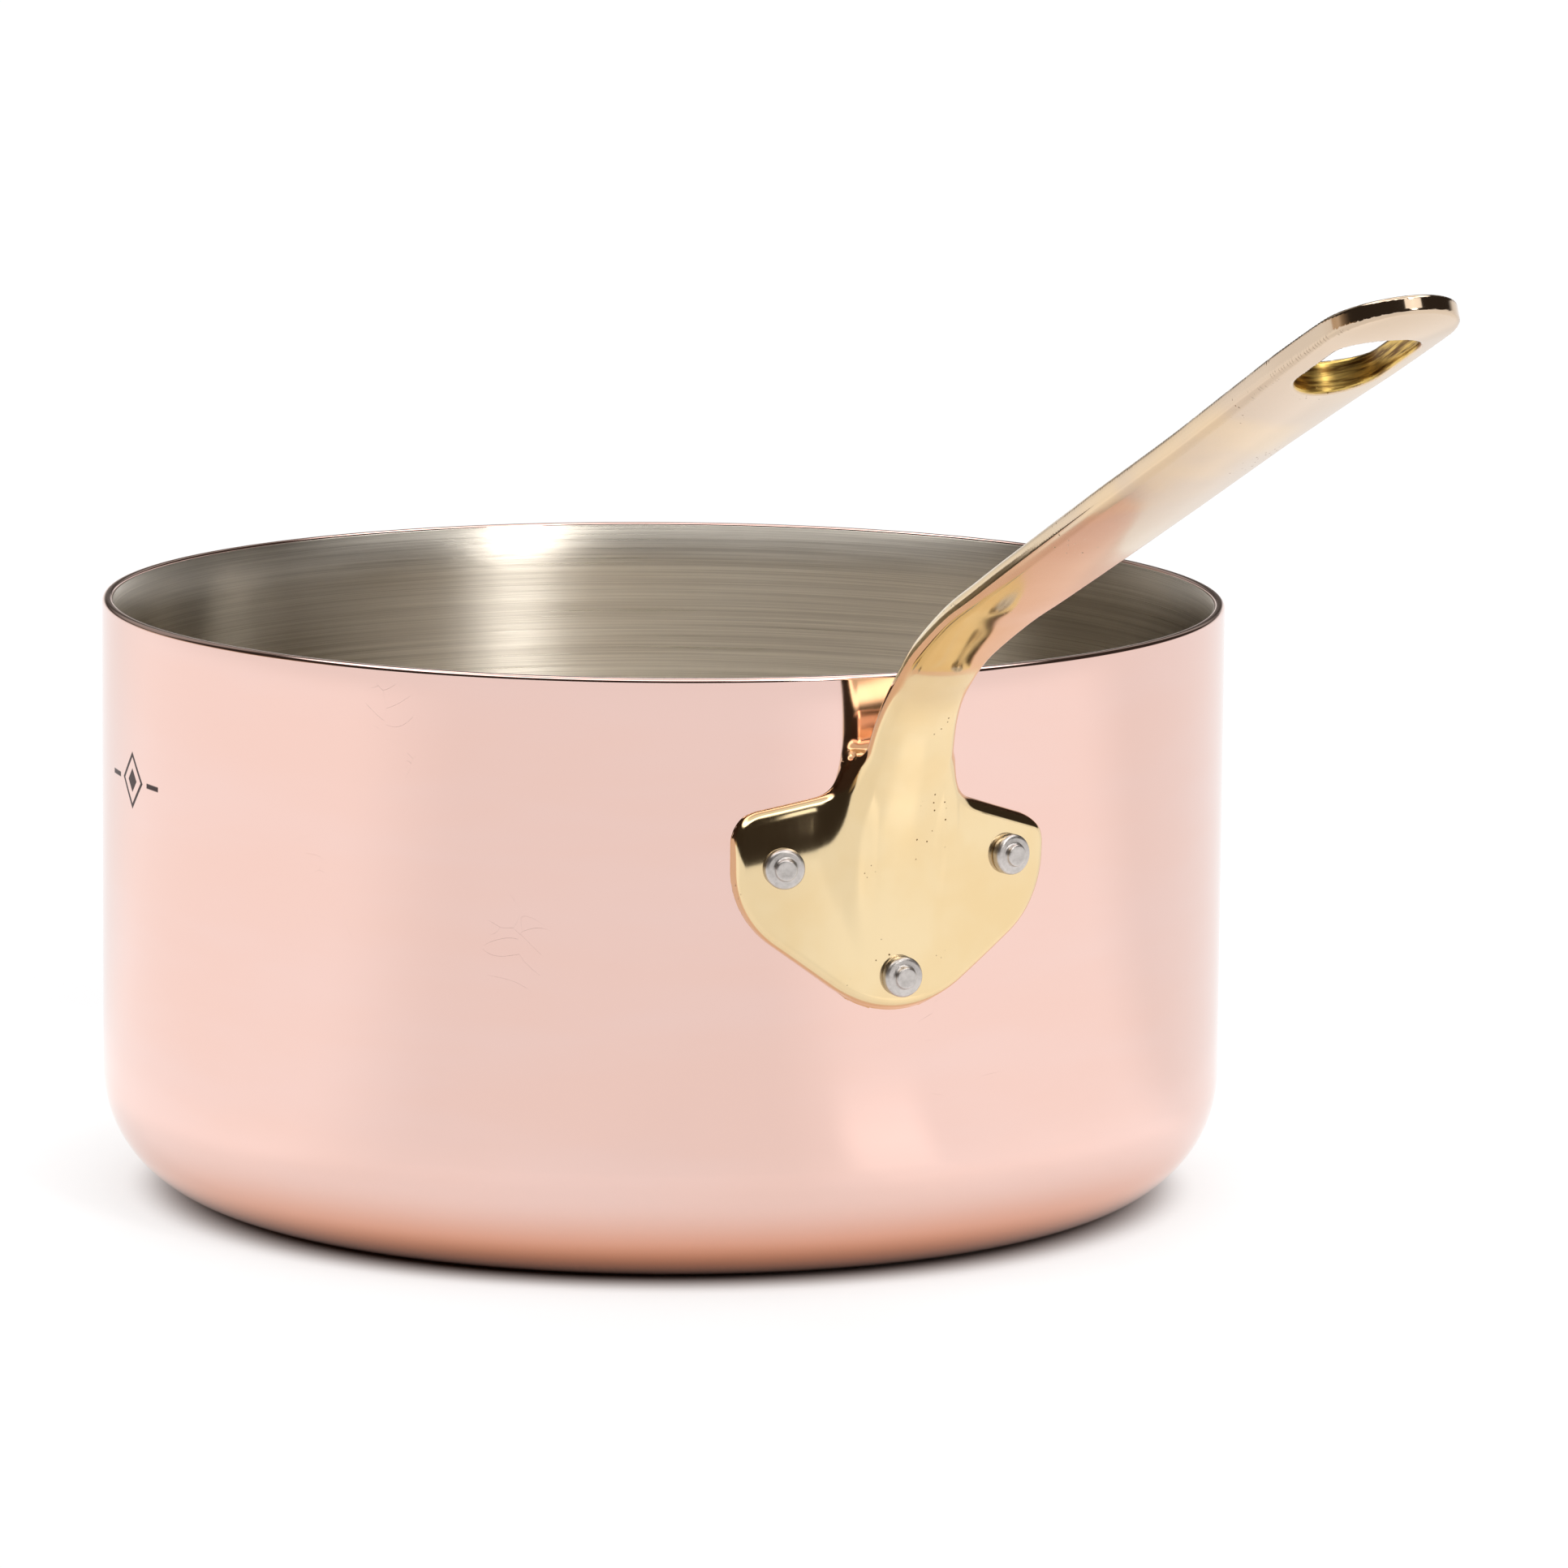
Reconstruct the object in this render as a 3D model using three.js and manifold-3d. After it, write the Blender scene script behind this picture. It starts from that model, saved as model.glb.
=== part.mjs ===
// Straight-sided copper saucepan with a bonded steel lining and a cast brass handle.
// Millimetres, +Z up. The origin is the centre of the flat underside, and the handle points along +X.
import * as THREE from 'three';
import { mergeVertices } from 'three/addons/utils/BufferGeometryUtils.js';
import Module from 'manifold-3d';

const wasm = await Module();
wasm.setup();

// ---- Driving dimensions ----
const OUTER_RADIUS = 102;
const HEIGHT = 108.5;
const COPPER_THICKNESS = 1.8;
const LINING_THICKNESS = 0.2;
const OUTER_CORNER_RADIUS = 22;
const RIM_ROUNDING = 0.5;

const SEAT_GAP = 0.1;               // between the copper wall and the handle's curved seat
const FLANGE_THICKNESS = 3.5;
const GRIP_ANGLE = THREE.MathUtils.degToRad(24.1);
const GRIP_LENGTH = 169.3;          // straight part, from GRIP_START to the tip
const GRIP_START = { radius: 140, height: 122.1 };
const END_RADIUS = 10.3;
const CROWN = 0.9;                  // how far the underside bulges at its middle
const EDGE_CHAMFER = 1.0;

const EYE_CENTRE = 145;             // along the grip from GRIP_START
const EYE_LENGTH = 26.7;
const EYE_WIDTH = 14;

const UPPER_RIVET_ANGLE = THREE.MathUtils.degToRad(12);
const UPPER_RIVET_HEIGHT = 76;
const LOWER_RIVET_HEIGHT = 56.2;
const SHANK_RADIUS = 2.5;
const RIVET_HOLE_RADIUS = 2.65;
const INNER_HEAD_RADIUS = 6;
const INNER_HEAD_HEIGHT = 2.4;
const OUTER_HEAD_RADIUS = 3.55;
const OUTER_HEAD_HEIGHT = 1.6;
const BOSS_RADIUS = 2.0;
const BOSS_HEIGHT = 2.7;

const WALL_SEGMENTS = 72;
const SEAT_SEGMENTS = 144;
const RIVET_SEGMENTS = 20;
const CORNER_STEPS = 7;

// ---- Small helpers ----

/** Points of an arc in the (radius, height) plane, both ends included. */
function arcPoints(centreRadius, centreHeight, radius, fromDegrees, toDegrees, steps) {
  const points = [];
  for (let i = 0; i <= steps; i += 1) {
    const angle = THREE.MathUtils.degToRad(fromDegrees + (toDegrees - fromDegrees) * (i / steps));
    const across = centreRadius + radius * Math.cos(angle);
    const up = centreHeight + radius * Math.sin(angle);
    points.push(new THREE.Vector2(across, up));
  }
  return points;
}

/** A lathe turned about +Z from a profile of (radius, height) points. */
function latheAboutZ(profile, segments) {
  const geometry = new THREE.LatheGeometry(profile, segments);
  geometry.rotateX(Math.PI / 2);
  return geometry;
}

/** A manifold solid from a closed three.js geometry. */
function toSolid(geometry) {
  const bare = geometry.clone();
  bare.deleteAttribute('normal');
  bare.deleteAttribute('uv');
  const merged = mergeVertices(bare, 1e-4);
  const vertProperties = new Float32Array(merged.attributes.position.array);
  const triVerts = new Uint32Array(merged.index.array);
  const mesh = new wasm.Mesh({ numProp: 3, vertProperties, triVerts });
  return new wasm.Manifold(mesh);
}

/** A three.js geometry from a manifold solid. */
function fromSolid(solid) {
  const mesh = solid.getMesh();
  const geometry = new THREE.BufferGeometry();
  const positions = new THREE.BufferAttribute(new Float32Array(mesh.vertProperties), 3);
  geometry.setAttribute('position', positions);
  geometry.setIndex(new THREE.BufferAttribute(new Uint32Array(mesh.triVerts), 1));
  geometry.computeVertexNormals();
  return geometry;
}

/** A closed shape of straight sides joined by tangent arcs; each corner is { at: [y, z], radius }. */
function roundedShape(corners, arcDivisions) {
  const points = [];
  corners.forEach((corner, i) => {
    const here = new THREE.Vector2(...corner.at);
    const before = new THREE.Vector2(...corners[(i + corners.length - 1) % corners.length].at);
    const after = new THREE.Vector2(...corners[(i + 1) % corners.length].at);
    if (corner.radius === 0) {
      points.push(here);
      return;
    }
    const back = before.sub(here).normalize();
    const ahead = after.sub(here).normalize();
    const half = Math.acos(THREE.MathUtils.clamp(back.dot(ahead), -1, 1)) / 2;
    const bisector = back.clone().add(ahead).normalize();
    const centre = here.clone().addScaledVector(bisector, corner.radius / Math.sin(half));
    const reach = corner.radius / Math.tan(half);
    const start = here.clone().addScaledVector(back, reach).sub(centre);
    const end = here.clone().addScaledVector(ahead, reach).sub(centre);
    const turn = Math.atan2(start.cross(end), start.dot(end));
    for (let k = 0; k <= arcDivisions; k += 1) {
      const spoke = start.clone().rotateAround(new THREE.Vector2(0, 0), turn * (k / arcDivisions));
      points.push(spoke.add(centre));
    }
  });
  return new THREE.Shape(points);
}

/** Points a solid built along +Z outward from the pan's axis, at an angle about it and a height. */
function aimOutward(geometry, angle, height) {
  geometry.rotateY(Math.PI / 2);
  geometry.rotateZ(angle);
  geometry.translate(0, 0, height);
  return geometry;
}

// ---- Pan: copper body and steel lining ----

const liningOuterRadius = OUTER_RADIUS - COPPER_THICKNESS;
const liningInnerRadius = liningOuterRadius - LINING_THICKNESS;
const panThickness = COPPER_THICKNESS + LINING_THICKNESS;
const cornerCentreRadius = OUTER_RADIUS - OUTER_CORNER_RADIUS;

/** Quarter round between floor and wall, at a depth in from the outside, from the floor up. */
function cornerAt(depth) {
  const radius = OUTER_CORNER_RADIUS - depth;
  return arcPoints(cornerCentreRadius, OUTER_CORNER_RADIUS, radius, -90, 0, CORNER_STEPS);
}

function copperBodyGeometry() {
  const outerRimCentre = OUTER_RADIUS - RIM_ROUNDING;
  const innerRimCentre = liningOuterRadius + RIM_ROUNDING;
  const rimCentreHeight = HEIGHT - RIM_ROUNDING;
  const profile = [
    new THREE.Vector2(0, 0),
    ...cornerAt(0),
    ...arcPoints(outerRimCentre, rimCentreHeight, RIM_ROUNDING, 0, 90, 2),
    ...arcPoints(innerRimCentre, rimCentreHeight, RIM_ROUNDING, 90, 180, 2),
    ...cornerAt(COPPER_THICKNESS).reverse(),
    new THREE.Vector2(0, COPPER_THICKNESS),
  ];
  return latheAboutZ(profile, WALL_SEGMENTS);
}

function steelLiningGeometry() {
  const top = HEIGHT - RIM_ROUNDING;
  const profile = [
    new THREE.Vector2(0, COPPER_THICKNESS),
    ...cornerAt(COPPER_THICKNESS),
    new THREE.Vector2(liningOuterRadius, top),
    new THREE.Vector2(liningInnerRadius, top),
    ...cornerAt(panThickness).reverse(),
    new THREE.Vector2(0, panThickness),
  ];
  return latheAboutZ(profile, WALL_SEGMENTS);
}

// ---- Rivets ----

const flangeOuterRadius = OUTER_RADIUS + SEAT_GAP + FLANGE_THICKNESS;

const rivetPlaces = [
  { name: 'rivet_upper_left', angle: -UPPER_RIVET_ANGLE, height: UPPER_RIVET_HEIGHT },
  { name: 'rivet_upper_right', angle: UPPER_RIVET_ANGLE, height: UPPER_RIVET_HEIGHT },
  { name: 'rivet_lower', angle: 0, height: LOWER_RIVET_HEIGHT },
];

/** One rivet: low domed head inside the pan, shank, and a formed head with a round boss outside. */
function rivetGeometry(place) {
  const innerHeadSag = INNER_HEAD_RADIUS ** 2 / (2 * liningInnerRadius);
  const innerSeat = liningInnerRadius - innerHeadSag - SEAT_GAP;
  const innerTop = innerSeat - INNER_HEAD_HEIGHT;
  const outerSeat = flangeOuterRadius + SEAT_GAP / 2;
  const shoulder = 0.6;
  const profile = [
    new THREE.Vector2(0, innerTop),
    new THREE.Vector2(INNER_HEAD_RADIUS * 0.55, innerTop + INNER_HEAD_HEIGHT * 0.17),
    new THREE.Vector2(INNER_HEAD_RADIUS * 0.87, innerTop + INNER_HEAD_HEIGHT * 0.52),
    new THREE.Vector2(INNER_HEAD_RADIUS, innerSeat),
    new THREE.Vector2(SHANK_RADIUS, innerSeat),
    new THREE.Vector2(SHANK_RADIUS, outerSeat),
    new THREE.Vector2(OUTER_HEAD_RADIUS, outerSeat),
    new THREE.Vector2(OUTER_HEAD_RADIUS, outerSeat + OUTER_HEAD_HEIGHT - shoulder),
    new THREE.Vector2(OUTER_HEAD_RADIUS - shoulder, outerSeat + OUTER_HEAD_HEIGHT),
    new THREE.Vector2(BOSS_RADIUS, outerSeat + OUTER_HEAD_HEIGHT),
    new THREE.Vector2(BOSS_RADIUS * 0.85, outerSeat + BOSS_HEIGHT),
    new THREE.Vector2(0, outerSeat + BOSS_HEIGHT),
  ];
  return aimOutward(latheAboutZ(profile, RIVET_SEGMENTS), place.angle, place.height);
}

/** The round holes that the three shanks pass through, as one set of cutting solids. */
function rivetHoleSolids() {
  const from = liningInnerRadius - 10;
  const to = flangeOuterRadius + 10;
  return rivetPlaces.map((place) => {
    const profile = [
      new THREE.Vector2(0, from),
      new THREE.Vector2(RIVET_HOLE_RADIUS, from),
      new THREE.Vector2(RIVET_HOLE_RADIUS, to),
      new THREE.Vector2(0, to),
    ];
    return toSolid(aimOutward(latheAboutZ(profile, RIVET_SEGMENTS), place.angle, place.height));
  });
}

/** A geometry with the three rivet holes cut through it. */
function withRivetHoles(geometry) {
  let solid = toSolid(geometry);
  for (const hole of rivetHoleSolids()) {
    solid = solid.subtract(hole);
  }
  return fromSolid(solid);
}

// ---- Handle: riveted flange, stem, grip and hanging eye, cast in one ----

// Half outline of the flange from its lower tip up to the stem, as (across, height).
// The lobe on -Y is cast a little taller than the one on +Y.
const flangeTip = { at: [0, 45.65], radius: 20.5 };

/** Outline corners on one side (+1 or -1) of the handle's plane. */
function flangeHalf(side, lobeTop, stemTop) {
  return [
    { at: [side * 29, 66.9], radius: 16.5 },
    { at: [side * 29, lobeTop], radius: 6.3 },
    { at: [side * 9.4, stemTop], radius: 3 },
    { at: [side * 9.4, 91.5], radius: 0 },
  ];
}

/** A closed ring about the pan's axis between two radii, tall enough to hold the flange. */
function seatRing(innerRadius, outerRadius) {
  const low = 40;
  const high = 100;
  const profile = [
    new THREE.Vector2(innerRadius, low),
    new THREE.Vector2(outerRadius, low),
    new THREE.Vector2(outerRadius, high),
    new THREE.Vector2(innerRadius, high),
    new THREE.Vector2(innerRadius, low),
  ];
  return toSolid(latheAboutZ(profile, SEAT_SEGMENTS));
}

function flangeSolid() {
  const right = flangeHalf(1, 81.6, 88.1);
  const left = flangeHalf(-1, 84.8, 88.9).reverse();
  const outline = roundedShape([flangeTip, ...right, ...left], 6);
  const depth = 40;
  const plate = new THREE.ExtrudeGeometry(outline, { depth, bevelEnabled: false });
  // The shape's own x, y and z become +Y, +Z and +X.
  plate.rotateX(Math.PI / 2);
  plate.rotateZ(Math.PI / 2);
  plate.translate(OUTER_RADIUS - depth / 2, 0, 0);
  return toSolid(plate).intersect(seatRing(OUTER_RADIUS + SEAT_GAP, flangeOuterRadius));
}

// Outer (under) side of the stem in the handle's own plane, as (radius, height), up to GRIP_START.
const stemCurve = new THREE.CatmullRomCurve3([
  new THREE.Vector3(104.6, 0, 74),
  new THREE.Vector3(107.3, 0, 87),
  new THREE.Vector3(110.3, 0, 95),
  new THREE.Vector3(112.0, 0, 100),
  new THREE.Vector3(115.6, 0, 105),
  new THREE.Vector3(119.6, 0, 108.9),
  new THREE.Vector3(126.0, 0, 114.2),
  new THREE.Vector3(137.6, 0, 121.0),
]);

// Half width and edge thickness along the handle, by length from the lower end of the stem curve.
const stemLength = stemCurve.getLength();
const gripFrom = stemLength + 2.64;
const widthStations = [
  [0, 9.0], [12, 8.8], [20, 8.15], [25.5, 7.65], [31.5, 7.1], [37, 6.9], [45, 7.3],
  [gripFrom, 8.0], [gripFrom + 28, 8.6], [gripFrom + 66, 8.9], [gripFrom + 100, 8.7],
  [gripFrom + 121, 9.3], [gripFrom + 138, 10.1], [gripFrom + 152, END_RADIUS],
  [gripFrom + GRIP_LENGTH, END_RADIUS],
];
const thicknessStations = [
  [0, 5.2], [20, 4.6], [40, 4.4], [gripFrom, 4.0], [gripFrom + 90, 3.5],
  [gripFrom + 120, 3.6], [gripFrom + 152, 3.4], [gripFrom + GRIP_LENGTH, 2.8],
];

/** Value at a length, straight between the stations of a table of [length, value]. */
function atStation(table, length) {
  const next = table.findIndex(([station]) => station >= length);
  if (next <= 0) {
    return table[next === 0 ? 0 : table.length - 1][1];
  }
  const [fromLength, fromValue] = table[next - 1];
  const [toLength, toValue] = table[next];
  return THREE.MathUtils.mapLinear(length, fromLength, toLength, fromValue, toValue);
}

const gripDirection = new THREE.Vector3(Math.cos(GRIP_ANGLE), 0, Math.sin(GRIP_ANGLE));
const gripNormal = new THREE.Vector3(-Math.sin(GRIP_ANGLE), 0, Math.cos(GRIP_ANGLE));
const gripOrigin = new THREE.Vector3(GRIP_START.radius, 0, GRIP_START.height);

/** Point and direction of the handle's under side at a length. */
function underside(length) {
  if (length <= stemLength) {
    const share = length / stemLength;
    return { point: stemCurve.getPointAt(share), along: stemCurve.getTangentAt(share) };
  }
  const point = gripOrigin.clone().addScaledVector(gripDirection, length - gripFrom);
  return { point, along: gripDirection };
}

/** Half width at a length, with the round end taken off. */
function halfWidth(length) {
  const intoEnd = length - (gripFrom + GRIP_LENGTH - END_RADIUS);
  const widest = atStation(widthStations, length);
  return intoEnd > 0 ? Math.sqrt(Math.max(END_RADIUS ** 2 - intoEnd ** 2, 1)) : widest;
}

/** One closed cross-section of the handle: crowned under side, chamfered edges, flat top. */
function sectionRing(length) {
  const { point, along } = underside(length);
  const inward = new THREE.Vector3(-along.z, 0, along.x);
  const half = halfWidth(length);
  const chamfer = Math.min(EDGE_CHAMFER, half * 0.6);
  const flat = half - chamfer;
  const thickness = atStation(thicknessStations, length);
  const place = (across, depth) => {
    const spot = point.clone().addScaledVector(inward, depth);
    spot.y = across;
    return spot;
  };
  const ring = [-1, -0.5, 0, 0.5, 1].map((share) => place(share * flat, -CROWN * (1 - share ** 2)));
  ring.push(place(half, chamfer), place(half, thickness - chamfer));
  ring.push(...[1, 0, -1].map((share) => place(share * flat, thickness)));
  ring.push(place(-half, thickness - chamfer), place(-half, chamfer));
  return ring;
}

/** A closed solid skinned over rings of equal count, with a flat cap at each end. */
function loft(rings) {
  const count = rings[0].length;
  const positions = rings.flat().flatMap((spot) => spot.toArray());
  const index = [];
  for (let r = 0; r + 1 < rings.length; r += 1) {
    for (let k = 0; k < count; k += 1) {
      const a = r * count + k;
      const b = r * count + ((k + 1) % count);
      index.push(a, b, b + count, a, b + count, a + count);
    }
  }
  const last = (rings.length - 1) * count;
  for (let k = 1; k + 1 < count; k += 1) {
    index.push(0, k + 1, k);
    index.push(last, last + k, last + k + 1);
  }
  const geometry = new THREE.BufferGeometry();
  geometry.setAttribute('position', new THREE.Float32BufferAttribute(positions, 3));
  geometry.setIndex(index);
  return geometry;
}

/** Lengths of the sections: close together in the bend, the eye and the round end. */
function sectionLengths() {
  const lengths = [];
  const stemSteps = 15;
  for (let i = 0; i < stemSteps; i += 1) {
    lengths.push(stemLength * (i / stemSteps));
  }
  for (const along of [0, 28, 66, 100, 111, 121, 130, 138, 152, 159]) {
    lengths.push(gripFrom + along);
  }
  const endStart = gripFrom + GRIP_LENGTH - END_RADIUS;
  for (const degrees of [20, 38, 54, 68, 80, 90]) {
    lengths.push(endStart + END_RADIUS * Math.sin(THREE.MathUtils.degToRad(degrees)));
  }
  return lengths;
}

/** The hanging eye's cutting solid: a long round-ended hole square to the grip. */
function eyeSolid() {
  const end = EYE_WIDTH / 2;
  const straight = EYE_LENGTH / 2 - end;
  const outline = new THREE.Shape();
  outline.absarc(straight, 0, end, -Math.PI / 2, Math.PI / 2, false);
  outline.absarc(-straight, 0, end, Math.PI / 2, 1.5 * Math.PI, false);
  const depth = 20;
  const cutter = new THREE.ExtrudeGeometry(outline, { depth, bevelEnabled: false, curveSegments: 12 });
  cutter.translate(EYE_CENTRE, 0, -depth / 2);
  // Length runs along the grip and depth runs along its normal.
  const across = new THREE.Vector3(0, 1, 0);
  const turn = new THREE.Matrix4().makeBasis(gripDirection, across, gripNormal);
  cutter.applyMatrix4(turn);
  cutter.translate(gripOrigin.x, 0, gripOrigin.z);
  return toSolid(cutter);
}

function brassHandleGeometry() {
  const grip = toSolid(loft(sectionLengths().map(sectionRing)));
  const wallRoom = seatRing(OUTER_RADIUS - 20, OUTER_RADIUS + SEAT_GAP);
  const handle = flangeSolid().add(grip.subtract(wallRoom)).subtract(eyeSolid());
  return withRivetHoles(fromSolid(handle));
}

// ---- Assembly ----

/** A named mesh with its own material. */
function mesh(name, geometry, color, roughness) {
  const material = new THREE.MeshStandardMaterial({ color, roughness, metalness: 1 });
  const result = new THREE.Mesh(geometry, material);
  result.name = name;
  return result;
}

const saucepan = new THREE.Group();
saucepan.add(mesh('copper_body', withRivetHoles(copperBodyGeometry()), 0xe3a78f, 0.15));
saucepan.add(mesh('steel_lining', withRivetHoles(steelLiningGeometry()), 0xa39c92, 0.4));
saucepan.add(mesh('brass_handle', brassHandleGeometry(), 0xe6c78d, 0.25));
for (const place of rivetPlaces) {
  saucepan.add(mesh(place.name, rivetGeometry(place), 0xc9c7cc, 0.35));
}

export default saucepan;
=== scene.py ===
"""Looks of a straight-sided copper saucepan with a riveted brass handle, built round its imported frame.

Metres, +Z up. The origin is the centre of the pan's flat underside and the handle points along +X.
Shapes are worked out in millimetres and turned to metres when a mesh is made. Finishes work in metres.
"""

import logging
import math
from dataclasses import dataclass, field
from enum import Enum
from typing import Any, Callable

import bpy
import numpy as np
from mathutils import Matrix, Vector


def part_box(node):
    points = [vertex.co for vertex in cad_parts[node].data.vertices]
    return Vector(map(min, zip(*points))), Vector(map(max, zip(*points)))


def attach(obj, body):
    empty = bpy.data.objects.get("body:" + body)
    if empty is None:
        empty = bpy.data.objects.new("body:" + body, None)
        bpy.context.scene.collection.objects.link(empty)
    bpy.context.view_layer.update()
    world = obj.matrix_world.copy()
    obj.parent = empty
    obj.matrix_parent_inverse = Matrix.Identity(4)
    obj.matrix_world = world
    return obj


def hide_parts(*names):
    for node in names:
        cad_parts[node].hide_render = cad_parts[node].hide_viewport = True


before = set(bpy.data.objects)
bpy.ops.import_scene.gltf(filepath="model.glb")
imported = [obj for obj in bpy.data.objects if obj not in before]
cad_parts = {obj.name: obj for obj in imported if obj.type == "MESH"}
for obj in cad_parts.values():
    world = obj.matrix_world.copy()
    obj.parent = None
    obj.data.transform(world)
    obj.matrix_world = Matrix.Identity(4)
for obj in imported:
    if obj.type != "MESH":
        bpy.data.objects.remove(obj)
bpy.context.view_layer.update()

MM = 0.001
DEGREES = 180 / math.pi
HALF_TURN = 180.0
BODY = "root"
LOG = logging.getLogger("saucepan")

Colour = tuple[float, float, float, float]
Pair = tuple[float, float]
Array = np.ndarray
Socket = bpy.types.NodeSocket


class Slot(Enum):
    """The record's material slots."""

    COPPER = "polished_copper"
    LINING = "brushed_lining"
    BRASS = "cast_brass"
    RIVET = "rivet_metal"


# ---------------------------------------------------------------- shader graphs


@dataclass(frozen=True)
class Grain:
    """Noise in a finish: its scale, how many finer layers it has, and how strong they are."""

    scale: float
    detail: float = 2.0
    rough: float = 0.5


@dataclass(frozen=True)
class SpunLines:
    """Lathe lines: how fast they change round the pan and from line to line, and their noise."""

    across: float
    along: float
    grain: Grain


@dataclass(frozen=True)
class Relief:
    """How strongly a bump tilts the surface, and how deep it is in metres."""

    strength: float
    depth: float


class Value:
    """A number that varies over a surface: an output socket whose arithmetic adds Math nodes."""

    def __init__(self, graph: "Graph", socket: Socket) -> None:
        """Wraps an output socket of a graph."""
        self.graph = graph
        self.socket = socket

    def math(self, operation: str, *others: "Value | float") -> "Value":
        """Adds one Math node on this value."""
        return self.graph.math(operation, self, *others)

    def __add__(self, other: "Value | float") -> "Value":
        """Sum."""
        return self.math("ADD", other)

    def __radd__(self, other: float) -> "Value":
        """Sum with a number on the left."""
        return self.math("ADD", other)

    def __sub__(self, other: "Value | float") -> "Value":
        """Difference."""
        return self.math("SUBTRACT", other)

    def __rsub__(self, other: float) -> "Value":
        """A number less this value."""
        return self.graph.math("SUBTRACT", other, self)

    def __mul__(self, other: "Value | float") -> "Value":
        """Product."""
        return self.math("MULTIPLY", other)

    def __rmul__(self, other: float) -> "Value":
        """Product with a number on the left."""
        return self.math("MULTIPLY", other)

    def centred(self) -> "Value":
        """A noise of 0 to 1 moved to lie about 0."""
        return self - 0.5

    def ramp(self, low: float, high: float, from_value: float = 0.0, to_value: float = 1.0) -> "Value":
        """A smooth step between two values.

        Args:
            low: Value at which the step starts.
            high: Value at which the step ends.
            from_value: Result at and before the start.
            to_value: Result at and after the end.

        Returns:
            The stepped value.
        """
        settings = {"interpolation_type": "SMOOTHSTEP", "clamp": True}
        sockets = {
            "Value": self,
            "From Min": low,
            "From Max": high,
            "To Min": from_value,
            "To Max": to_value,
        }
        return self.graph.value("ShaderNodeMapRange", settings, sockets)

    def below(self, low: float, high: float) -> "Value":
        """1 below a low value and 0 above a high one, with a smooth step between."""
        return self.ramp(low, high, 1.0, 0.0)

    def band(self, low: float, high: float, soft: float) -> "Value":
        """1 between two values and 0 outside, with soft edges of a given width."""
        return self.ramp(low - soft, low + soft) * self.below(high - soft, high + soft)


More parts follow.
